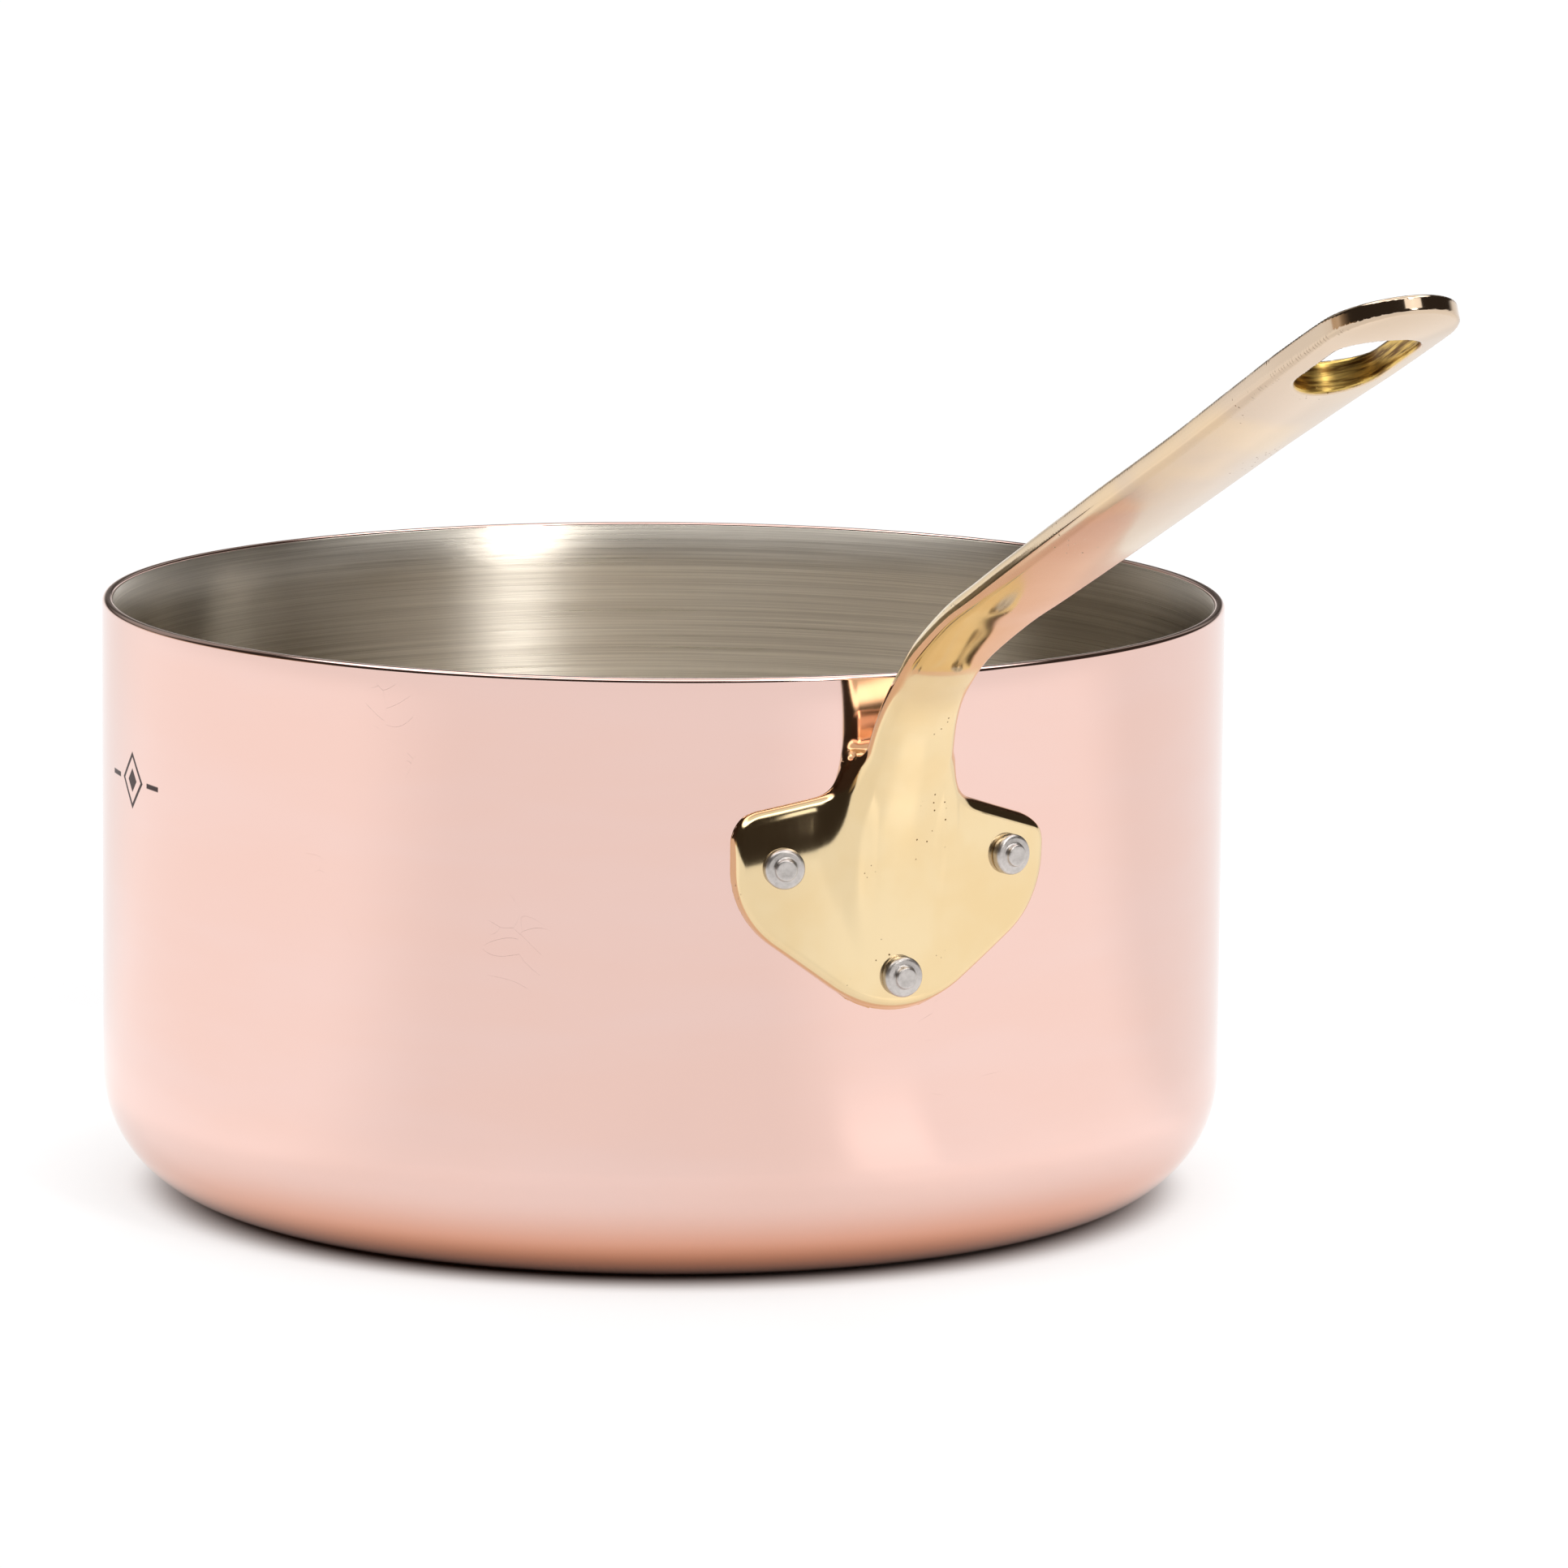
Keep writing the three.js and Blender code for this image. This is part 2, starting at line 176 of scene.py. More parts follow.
class Graph:
    """A node tree that is built through a few plain calls."""

    def __init__(self, tree: bpy.types.NodeTree) -> None:
        """Clears a tree and keeps it."""
        self.tree = tree
        self.tree.nodes.clear()

    def add(
        self,
        kind: str,
        settings: dict[str, Any] | None = None,
        sockets: dict[str | int, Any] | None = None,
    ) -> bpy.types.Node:
        """Adds a node.

        Args:
            kind: The node's type.
            settings: Properties set before anything is linked.
            sockets: Values, links or wrapped values for the node's inputs.

        Returns:
            The new node.
        """
        node = self.tree.nodes.new(kind)
        for name, setting in (settings or {}).items():
            setattr(node, name, setting)
        for key, given in (sockets or {}).items():
            self._feed(node.inputs[key], given)
        return node

    def _feed(self, target: Socket, given: Any) -> None:
        """Links an input to an output, or sets it.

        Args:
            target: The input.
            given: A wrapped value or an output to link, or a plain value to set.
        """
        if isinstance(given, Value):
            given = given.socket
        if isinstance(given, Socket):
            self.tree.links.new(given, target)
        else:
            target.default_value = given

    def value(
        self,
        kind: str,
        settings: dict[str, Any] | None = None,
        sockets: dict[str | int, Any] | None = None,
        output: str | int = 0,
    ) -> Value:
        """Adds a node and wraps one of its outputs."""
        return Value(self, self.add(kind, settings, sockets).outputs[output])

    def math(self, operation: str, *inputs: Value | float) -> Value:
        """Adds one Math node."""
        return self.value("ShaderNodeMath", {"operation": operation}, dict(enumerate(inputs)))

    def vector_math(self, operation: str, *inputs: Any) -> Socket:
        """Adds one Vector Math node and returns its vector."""
        node = self.add("ShaderNodeVectorMath", {"operation": operation}, dict(enumerate(inputs)))
        return node.outputs["Vector"]

    def mix_colour(self, factor: Value | float, first: Any, second: Any) -> Socket:
        """Mixes two colours and returns the result's socket."""
        sockets = {0: factor, 6: first, 7: second}
        return self.add("ShaderNodeMix", {"data_type": "RGBA"}, sockets).outputs[2]

    def object_point(self) -> Socket:
        """The shaded point in the object's own metres."""
        return self.add("ShaderNodeTexCoord").outputs["Object"]

    def axes(self, vector: Socket) -> tuple[Value, Value, Value]:
        """A vector's three parts."""
        node = self.add("ShaderNodeSeparateXYZ", None, {0: vector})
        return tuple(Value(self, output) for output in node.outputs)

    def point(self, x: Any, y: Any, z: Any) -> Socket:
        """A vector from three parts."""
        return self.add("ShaderNodeCombineXYZ", None, {0: x, 1: y, 2: z}).outputs[0]

    def length(self, x: Value, y: Value) -> Value:
        """Length of a flat vector."""
        return self.math("SQRT", x * x + y * y)

    def noise(self, at: Socket, grain: Grain) -> Value:
        """Noise between 0 and 1 at a point."""
        sockets = {"Vector": at, "Scale": grain.scale, "Detail": grain.detail, "Roughness": grain.rough}
        return self.value("ShaderNodeTexNoise", {"noise_dimensions": "3D"}, sockets, "Fac")

    def spun_noise(self, lines: SpunLines) -> Value:
        """Noise stretched the way a lathe's brush lines run.

        Args:
            lines: How far it is stretched, and its noise.

        Returns:
            The noise, 0 to 1.
        """
        x, y, z = self.axes(self.object_point())
        radius = self.length(x, y)
        stretched = self.point(x * lines.across, y * lines.across, (z - radius) * lines.along)
        return self.noise(stretched, lines.grain)

    def bump(self, height: Value, relief: Relief, under: Any = None) -> Socket:
        """A normal from a height.

        Args:
            height: The height, 0 to 1.
            relief: The bump's strength and depth.
            under: A normal that this one is laid on.

        Returns:
            The bumped normal's socket.
        """
        sockets = {"Strength": relief.strength, "Distance": relief.depth, "Height": height}
        if under is not None:
            sockets["Normal"] = under
        return self.add("ShaderNodeBump", None, sockets).outputs["Normal"]

    def facing(self, azimuth: Value, middle: float, half_width: float, soft: float) -> Value:
        """1 within half a width of an azimuth and 0 beyond its soft edge, all in degrees."""
        away = self.math("WRAP", azimuth - middle, HALF_TURN, -HALF_TURN).math("ABSOLUTE")
        return away.below(half_width - soft, half_width + soft)

    def principled(self, sockets: dict[str, Any]) -> None:
        """Ends a material's graph in a Principled shader."""
        shader = self.add("ShaderNodeBsdfPrincipled", None, sockets)
        self.add("ShaderNodeOutputMaterial", None, {"Surface": shader.outputs[0]})


def new_material(name: str) -> tuple[bpy.types.Material, Graph]:
    """Makes an empty node material.

    Args:
        name: The material's name.

    Returns:
        The material and its graph.
    """
    material = bpy.data.materials.new(name)
    material.use_nodes = True
    return material, Graph(material.node_tree)


# ---------------------------------------------------------------- finishes


@dataclass(frozen=True)
class EtchedMark:
    """A plain lozenge between two short bars, etched dark on the wall; lengths in metres."""

    angle: float = math.radians(-91.0)
    height: float = 80.0 * MM
    size: float = 5.2 * MM
    soft: float = 0.12 * MM
    ring_inner: float = 0.80
    heart_size: float = 0.42
    bar_from: float = 1.35
    bar_to: float = 2.3
    bar_half: float = 0.45 * MM
    side_depth: float = 1.0 * MM

    def mask(self, graph: Graph, point: Socket) -> Value:
        """Draws the mark.

        Args:
            graph: The copper's graph.
            point: The shaded point.

        Returns:
            1 where the metal is etched, and 0 elsewhere.
        """
        x, y, z = graph.axes(point)
        side = (x * math.cos(self.angle) + y * math.sin(self.angle)).ramp(0.0, self.side_depth)
        across = (y * math.cos(self.angle) - x * math.sin(self.angle)).math("ABSOLUTE")
        up = (z - self.height).math("ABSOLUTE")
        lozenge = across + up
        heart_edge = self.size * self.heart_size
        ring = lozenge.band(self.size * self.ring_inner, self.size, self.soft)
        heart = lozenge.below(heart_edge - self.soft, heart_edge + self.soft)
        reach = across.band(self.size * self.bar_from, self.size * self.bar_to, self.soft)
        bars = reach * up.below(self.bar_half - self.soft, self.bar_half + self.soft)
        return graph.math("MINIMUM", ring + heart + bars, 1.0) * side


@dataclass(frozen=True)
class PolishedCopper:
    """Buffed copper: pale warm mirror, with painted shade deepening it at the foot, faint spun lines and
    small scratches.
    """

    colour: Colour = (0.815, 0.570, 0.505, 1.0)
    warm: Colour = (0.800, 0.530, 0.450, 1.0)
    cool: Colour = (0.800, 0.585, 0.540, 1.0)
    # painted shade: dark, deep orange that stands in for the shadowed floor reflected in the pan's foot
    under: Colour = (0.69, 0.295, 0.165, 1.0)
    etched: Colour = (0.045, 0.020, 0.018, 1.0)
    painted_foot_shade_heights: Pair = (3.5 * MM, 17.0 * MM)
    tint_step: Pair = (0.35, 0.70)
    evenness: float = 0.72
    brush: SpunLines = SpunLines(9.0, 2600.0, Grain(1.0, 3.0, 0.6))
    patches: SpunLines = SpunLines(14.0, 60.0, Grain(1.0, 3.0, 0.55))
    wave_grain: Grain = Grain(22.0, 1.0)
    roughness: float = 0.075
    uneven_roughness: float = 0.05
    scratch_roughness: float = 0.15
    etched_roughness: float = 0.35
    line_relief: Relief = Relief(0.035, 0.02 * MM)
    wave_relief: Relief = Relief(0.10, 0.25 * MM)
    scratch_relief: Relief = Relief(0.18, 0.03 * MM)
    scratch_drift: float = 18.0
    scratch_cells: float = 21.0
    scratch_width: float = 0.006
    scratch_groups: Grain = Grain(45.0)
    scratch_group_step: Pair = (0.64, 0.72)

    def material(self) -> bpy.types.Material:
        """Builds the copper material.

        Returns:
            The material.
        """
        material, graph = new_material(Slot.COPPER.value)
        point = graph.object_point()
        brush = graph.spun_noise(self.brush)
        patches = graph.spun_noise(self.patches)
        tint = graph.mix_colour(patches.ramp(*self.tint_step), self.warm, self.cool)
        shade = graph.mix_colour(self.evenness, tint, self.colour)
        # painted shade: the colour darkens to the under colour towards the foot, standing in for the
        # shadowed floor that the foot reflects
        foot = graph.axes(point)[2].below(*self.painted_foot_shade_heights)
        shade = graph.mix_colour(foot, shade, self.under)
        scratches = self._scratches(graph, point)
        mark = EtchedMark().mask(graph, point)
        roughness = self.roughness + self.uneven_roughness * (brush.centred() + patches.centred())
        roughness = roughness + self.scratch_roughness * scratches + self.etched_roughness * mark
        lines = graph.bump(brush, self.line_relief)
        waves = graph.bump(graph.noise(point, self.wave_grain), self.wave_relief, lines)
        graph.principled({
            "Base Color": graph.mix_colour(mark, shade, self.etched),
            "Metallic": 1.0,
            "Roughness": roughness,
            "Normal": graph.bump(1 - scratches, self.scratch_relief, waves),
        })
        return material

    def _scratches(self, graph: Graph, point: Socket) -> Value:
        """Thin scattered scratches.

        Args:
            graph: The copper's graph.
            point: The shaded point.

        Returns:
            1 in a scratch, and 0 elsewhere.
        """
        drift = graph.add("ShaderNodeTexNoise", None, {"Vector": point, "Scale": self.scratch_drift})
        bent = graph.vector_math("ADD", point, drift.outputs["Color"])
        sockets = {"Vector": bent, "Scale": self.scratch_cells}
        edges = graph.value("ShaderNodeTexVoronoi", {"feature": "DISTANCE_TO_EDGE"}, sockets, "Distance")
        sparse = graph.noise(point, self.scratch_groups).ramp(*self.scratch_group_step)
        return edges.below(0.0, self.scratch_width) * sparse


@dataclass(frozen=True)
class BrushedLining:
    """Stainless lining with circular brush lines of uneven strength."""

    light: Colour = (0.89, 0.83, 0.735, 1.0)
    dark: Colour = (0.67, 0.615, 0.535, 1.0)
    shade_step: Pair = (0.36, 0.62)
    fine: SpunLines = SpunLines(9.0, 5200.0, Grain(1.0, 3.0, 0.7))
    coarse: SpunLines = SpunLines(11.0, 1100.0, Grain(1.0, 3.0, 0.6))
    fine_share: float = 0.55
    coarse_share: float = 0.45
    cloud: Grain = Grain(26.0)
    roughness: float = 0.31
    line_roughness: float = 0.22
    cloud_roughness: float = 0.08
    fine_relief: Relief = Relief(0.6, 0.05 * MM)
    coarse_relief: Relief = Relief(0.25, 0.05 * MM)
    anisotropy: float = 1.0
    turned: float = 0.25

    def material(self) -> bpy.types.Material:
        """Builds the lining material.

        Returns:
            The material.
        """
        material, graph = new_material(Slot.LINING.value)
        fine = graph.spun_noise(self.fine)
        coarse = graph.spun_noise(self.coarse)
        cloud = graph.noise(graph.object_point(), self.cloud)
        lines = self.fine_share * fine + self.coarse_share * coarse
        roughness = self.roughness + self.line_roughness * lines.centred()
        fine_normal = graph.bump(fine, self.fine_relief)
        graph.principled({
            "Base Color": graph.mix_colour(lines.ramp(*self.shade_step), self.dark, self.light),
            "Metallic": 1.0,
            "Roughness": roughness + self.cloud_roughness * cloud.centred(),
            "Anisotropic": self.anisotropy,
            "Anisotropic Rotation": self.turned,
            "Normal": graph.bump(coarse, self.coarse_relief, fine_normal),
        })
        return material


@dataclass(frozen=True)
class HangingEye:
    """The long hole at the handle's end, in metres, in the plane that the handle rises in."""

    origin: Pair
    direction: Pair
    centre: float
    straight_half: float
    end_radius: float


@dataclass(frozen=True)
class CastBrass:
    """Polished cast brass, duller along the grip, with casting pores and a raw wall inside the eye that is
    darkened partly by painted shade.
    """

    colour: Colour = (0.800, 0.620, 0.360, 1.0)
    deep: Colour = (0.760, 0.550, 0.280, 1.0)
    pale: Colour = (0.820, 0.675, 0.435, 1.0)
    pore: Colour = (0.16, 0.09, 0.03, 1.0)
    grip: Colour = (0.61, 0.475, 0.365, 1.0)
    grip_warm: Colour = (0.76, 0.555, 0.33, 1.0)
    raw: Colour = (0.80, 0.55, 0.16, 1.0)
    # raw file-marked wall tone, made darker partly as painted shade inside the eye
    raw_dark_and_painted_shade: Colour = (0.17, 0.085, 0.02, 1.0)
    cloud: Grain = Grain(55.0, 3.0, 0.6)
    cloud_step: Pair = (0.30, 0.70)
    evenness: float = 0.62
    buff: Grain = Grain(1.0, 2.0, 0.6)
    buff_stretch: tuple[float, float, float] = (120.0, 1500.0, 260.0)
    blush: Grain = Grain(34.0)
    blush_step: Pair = (0.48, 0.68)
    blush_most: float = 0.65
    grip_reach: Pair = (125.0 * MM, 215.0 * MM)
    grip_most: float = 0.85
    wave_grain: Grain = Grain(70.0, 1.0)
    roughness: float = 0.095
    cloud_roughness: float = 0.05
    buff_roughness: float = 0.06
    pore_roughness: float = 0.25
    raw_roughness: float = 0.22
    wave_relief: Relief = Relief(0.22, 0.20 * MM)
    buff_relief: Relief = Relief(0.05, 0.02 * MM)
    pore_relief: Relief = Relief(0.6, 0.15 * MM)
    streak_relief: Relief = Relief(0.5, 0.10 * MM)
    pore_cells: float = 900.0
    pore_edge: Pair = (0.08, 0.17)
    groups: Grain = Grain(95.0, 1.0)
    group_step: Pair = (0.64, 0.71)
    pitted: Pair = (4.0 * MM, 80.0 * MM)
    pitted_reach: float = 6.5 * MM
    pitted_core: float = 0.3
    pitted_flatness: float = 2.0
    pitted_grain: Grain = Grain(420.0, 1.0)
    pitted_step: Pair = (0.48, 0.60)
    streak_grain: Grain = Grain(1.0, 3.0, 0.6)
    streak_across: float = 130.0
    streak_depth: float = 1500.0
    streak_step: Pair = (0.35, 0.62)
    eye_edge: Pair = (0.12 * MM, 0.45 * MM)

    def material(self, eye: HangingEye) -> bpy.types.Material:
        """Builds the brass material.

        Args:
            eye: The hanging eye, whose wall is left raw.

        Returns:
            The material.
        """
        material, graph = new_material(Slot.BRASS.value)
        point = graph.object_point()
        cloud = graph.noise(point, self.cloud)
        buff = graph.noise(graph.vector_math("MULTIPLY", point, self.buff_stretch), self.buff)
        pores = self._pores(graph, point)
        wall = self._eye_wall(graph, point, eye)
        streaks = self._streaks(graph, point, eye)
        shade = self._polish(graph, point, cloud)
        shade = graph.mix_colour(pores, shade, self.pore)
        # the eye wall's dark streaks are partly the raw metal's own tone and partly painted shade
        raw = graph.mix_colour(streaks.ramp(*self.streak_step), self.raw_dark_and_painted_shade, self.raw)
        roughness = self.roughness + self.cloud_roughness * cloud.centred()
        roughness = roughness + self.buff_roughness * buff.centred()
        roughness = roughness + self.pore_roughness * pores + self.raw_roughness * wall
        waves = graph.bump(graph.noise(point, self.wave_grain), self.wave_relief)
        lines = graph.bump(buff, self.buff_relief, waves)
        pits = graph.bump(1 - pores, self.pore_relief, lines)
        graph.principled({
            "Base Color": graph.mix_colour(wall, shade, raw),
            "Metallic": 1.0,
            "Roughness": roughness,
            "Normal": graph.bump(streaks * wall, self.streak_relief, pits),
        })
        return material

    def _polish(self, graph: Graph, point: Socket, cloud: Value) -> Socket:
        """Colour of the polished metal, which dulls from the stem out along the grip.

        Args:
            graph: The brass's graph.
            point: The shaded point.
            cloud: Soft patches, 0 to 1.

        Returns:
            The colour's socket.
        """
        shade = graph.mix_colour(cloud.ramp(*self.cloud_step), self.deep, self.pale)
        shade = graph.mix_colour(self.evenness, shade, self.colour)
        blush = graph.noise(point, self.blush).ramp(*self.blush_step, 0.0, self.blush_most)
        grip = graph.mix_colour(blush, self.grip, self.grip_warm)
        dulled = graph.axes(point)[0].ramp(*self.grip_reach, 0.0, self.grip_most)
        return graph.mix_colour(dulled, shade, grip)

    def _pores(self, graph: Graph, point: Socket) -> Value:
        """Small casting pits in loose groups and in one patch on the flange.

        Args:
            graph: The brass's graph.
            point: The shaded point.

        Returns:
            1 in a pit, and 0 elsewhere.
        """
        sockets = {"Vector": point, "Scale": self.pore_cells}
        cells = graph.value("ShaderNodeTexVoronoi", None, sockets, "Distance")
        group = graph.noise(point, self.groups).ramp(*self.group_step)
        _, y, z = graph.axes(point)
        across = y - self.pitted[0]
        up = z - self.pitted[1]
        away = graph.math("SQRT", self.pitted_flatness * across * across + up * up)
        patch = away.below(self.pitted_core * self.pitted_reach, self.pitted_reach)
        patch = patch * graph.noise(point, self.pitted_grain).ramp(*self.pitted_step)
        return cells.below(*self.pore_edge) * graph.math("MAXIMUM", group, patch)

    def _streaks(self, graph: Graph, point: Socket, eye: HangingEye) -> Value:
        """File marks that run round the hanging eye's wall.

        Args:
            graph: The brass's graph.
            point: The shaded point.
            eye: The hanging eye.

        Returns:
            The marks' noise, 0 to 1.
        """
        x, y, z = graph.axes(point)
        depth = (z - eye.origin[1]) * eye.direction[0] - (x - eye.origin[0]) * eye.direction[1]
        drawn = graph.point(x * self.streak_across, y * self.streak_across, depth * self.streak_depth)
        return graph.noise(drawn, self.streak_grain)

    def _eye_wall(self, graph: Graph, point: Socket, eye: HangingEye) -> Value:
        """Finds the wall of the hanging eye, just inside its rounded edge.

        Args:
            graph: The brass's graph.
            point: The shaded point.
            eye: The hanging eye.

        Returns:
            1 on the wall, and 0 elsewhere.
        """
        x, y, z = graph.axes(point)
        along = (x - eye.origin[0]) * eye.direction[0] + (z - eye.origin[1]) * eye.direction[1]
        reach = (along - eye.centre).math("ABSOLUTE") - eye.straight_half
        distance = graph.length(reach.math("MAXIMUM", 0.0), y)
        return distance.below(eye.end_radius + self.eye_edge[0], eye.end_radius + self.eye_edge[1])


@dataclass(frozen=True)
class RivetMetal:
    """Satin silver rivet metal with a fine grain and small dents."""

    colour: Colour = (0.62, 0.58, 0.555, 1.0)
    dull: Colour = (0.52, 0.485, 0.46, 1.0)
    shade_step: Pair = (0.30, 0.65)
    grain: Grain = Grain(1100.0, 3.0, 0.6)
    cloud: Grain = Grain(350.0)
    roughness: float = 0.37
    grain_roughness: float = 0.18
    cloud_roughness: float = 0.10
    dent_relief: Relief = Relief(0.12, 0.08 * MM)
    grain_relief: Relief = Relief(0.06, 0.02 * MM)

    def material(self) -> bpy.types.Material:
        """Builds the rivet material.

        Returns:
            The material.
        """
        material, graph = new_material(Slot.RIVET.value)
        point = graph.object_point()
        grain = graph.noise(point, self.grain)
        cloud = graph.noise(point, self.cloud)
        roughness = self.roughness + self.grain_roughness * grain.centred()
        dents = graph.bump(cloud, self.dent_relief)
        graph.principled({
            "Base Color": graph.mix_colour(grain.ramp(*self.shade_step), self.dull, self.colour),
            "Metallic": 1.0,
            "Roughness": roughness + self.cloud_roughness * cloud.centred(),
            "Normal": graph.bump(grain, self.grain_relief, dents),
        })
        return material


# ---------------------------------------------------------------- mesh helpers


def mesh_object(name: str, points: Array, faces: Array | list[tuple[int, ...]]) -> bpy.types.Object:
    """Makes a smooth-shaded object from points in millimetres.

    Args:
        name: The object's name.
        points: Its vertices, one row each.
        faces: Its faces, as rows of vertex numbers.

    Returns:
        The object, linked into the scene.
    """
    mesh = bpy.data.meshes.new(name)
    mesh.from_pydata((np.asarray(points) * MM).tolist(), [], [tuple(int(i) for i in f) for f in faces])
    mesh.validate()
    mesh.shade_smooth()
    result = bpy.data.objects.new(name, mesh)
    bpy.context.scene.collection.objects.link(result)
    return result


def arc(centre: Pair, radius: float, start: float, end: float, steps: int) -> list[Pair]:
    """Points of an arc, both ends included, with its angles in degrees."""
    turns = [math.radians(start + (end - start) * i / steps) for i in range(steps + 1)]
    return [(centre[0] + radius * math.cos(t), centre[1] + radius * math.sin(t)) for t in turns]


def lathe(name: str, profile: list[Pair], segments: int) -> bpy.types.Object:
    """Turns a closed profile about +Z.

    Args:
        name: The object's name.
        profile: Points as (radius, height), starting and ending on the axis, counter-clockwise.
        segments: How many steps go round.

    Returns:
        The turned object.
    """
    ring = np.array(profile[1:-1], float)
    turns = np.arange(segments) * (2 * math.pi / segments)
    around = np.stack([np.cos(turns), np.sin(turns)], 1)
    flat = ring[None, :, 0, None] * around[:, None, :]
    high = np.broadcast_to(ring[None, :, 1, None], (segments, len(ring), 1))
    points = np.concatenate([flat, high], 2).reshape(-1, 3)
    poles = np.array([[0.0, 0.0, profile[0][1]], [0.0, 0.0, profile[-1][1]]])
    first = len(points)
    faces = []
    for s in range(segments):
        here = s * len(ring)
        after = ((s + 1) % segments) * len(ring)
        faces.append((first, after, here))
        faces.append((first + 1, here + len(ring) - 1, after + len(ring) - 1))
        faces.extend((here + k, after + k, after + k + 1, here + k + 1) for k in range(len(ring) - 1))
    return mesh_object(name, np.concatenate([points, poles]), faces)


def aim_outward(piece: bpy.types.Object, angle: float, height: float) -> None:
    """Turns a mesh built along +Z to point out from the pan's axis, at an angle and a height."""
    turn = Matrix.Rotation(angle, 4, "Z") @ Matrix.Rotation(math.pi / 2, 4, "Y")
    piece.data.transform(Matrix.Translation((0, 0, height * MM)) @ turn)


def dress(piece: bpy.types.Object, material: bpy.types.Material, slot: Slot, node: str) -> None:
    """Gives a piece its finish and its place in the frame.

    Args:
        piece: The piece.
        material: Its finish.
        slot: The record's slot that the finish belongs to.
        node: The CAD node that the piece stands for.
    """
    piece.data.materials.append(material)
    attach(piece, BODY)
    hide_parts(node)
    LOG.info("%s: %d faces, %s", piece.name, len(piece.data.polygons), slot.value)


# ---------------------------------------------------------------- distances, in millimetres


def smooth_step(low: float, high: float, value: Array) -> Array:
    """0 below low, 1 above high, and smooth between."""
    share = np.clip((value - low) / (high - low), 0.0, 1.0)
    return share * share * (3 - 2 * share)


def round_max(first: Array, second: Array, radius: float | Array) -> Array:
    """Meeting of two solids with the edge between them rounded to a radius."""
    inside = np.minimum(np.maximum(first, second), -radius)
    return inside + np.hypot(np.maximum(first + radius, 0), np.maximum(second + radius, 0))


def round_min(first: Array, second: Array, radius: float) -> Array:
    """Join of two solids with the valley between them filled to a radius."""
    outside = np.maximum(np.minimum(first, second), radius)
    return outside - np.hypot(np.maximum(radius - first, 0), np.maximum(radius - second, 0))


def smooth_min(first: Array, second: Array, reach: float | Array) -> Array:
    """Join of two solids with a soft valley of a given reach."""
    near = np.maximum(reach - np.abs(first - second), 0) / reach
    return np.minimum(first, second) - near * near * reach / 4


@dataclass(frozen=True)
class OutlineCorner:
    """A corner of an outline, as (across, height), and the radius that it is rounded to."""

    across: float
    height: float
    radius: float


class RoundedOutline:
    """A closed outline of straight sides and arcs that gives the signed distance to itself."""

    FAR = 1e9

    def __init__(self, corners: list[OutlineCorner]) -> None:
        """Works out the sides and arcs.

        Args:
            corners: The outline's corners, counter-clockwise.
        """
        self.arcs: list[tuple[Array, float, float, float, float]] = []
        spots = [np.array([c.across, c.height]) for c in corners]
        ends = []
        for i, corner in enumerate(corners):
            back = spots[i - 1] - spots[i]
            ahead = spots[(i + 1) % len(spots)] - spots[i]
            back = back / np.linalg.norm(back)
            ahead = ahead / np.linalg.norm(ahead)
            half = math.acos(float(np.clip(back @ ahead, -1, 1))) / 2
            bisector = (back + ahead) / np.linalg.norm(back + ahead)
            centre = spots[i] + bisector * corner.radius / math.sin(half)
            reach = corner.radius / math.tan(half)
            facing = math.atan2(-bisector[1], -bisector[0])
            side = -1.0 if back[0] * ahead[1] - back[1] * ahead[0] > 0 else 1.0
            self.arcs.append((centre, corner.radius, facing, math.pi / 2 - half, side))
            ends.append((spots[i] + back * reach, spots[i] + ahead * reach))
        self.sides = [(ends[i - 1][1], ends[i][0]) for i in range(len(corners))]

    def distance(self, across: Array, height: Array) -> Array:
        """Signed distance to the outline.

        Args:
            across: Places of the points across the outline's plane.
            height: Their heights.

        Returns:
            Distances, negative inside.
        """
        best = np.full(across.shape, self.FAR)
        for start, end in self.sides:
            run = end - start
            length = float(run @ run)
            share = np.clip(((across - start[0]) * run[0] + (height - start[1]) * run[1]) / length, 0, 1)
            off_across = across - start[0] - share * run[0]
            off_height = height - start[1] - share * run[1]
            side = run[0] * (height - start[1]) - run[1] * (across - start[0])
            away = np.hypot(off_across, off_height) * np.where(side > 0, -1.0, 1.0)
            best = np.where(np.abs(away) < np.abs(best), away, best)
        for centre, radius, facing, spread, side in self.arcs:
            out = np.hypot(across - centre[0], height - centre[1])
            angle = np.arctan2(height - centre[1], across - centre[0]) - facing
            angle = np.abs((angle + math.pi) % (2 * math.pi) - math.pi)
            away = np.where(angle <= spread, side * (out - radius), self.FAR)
            best = np.where(np.abs(away) < np.abs(best), away, best)
        return best


# ---------------------------------------------------------------- pan


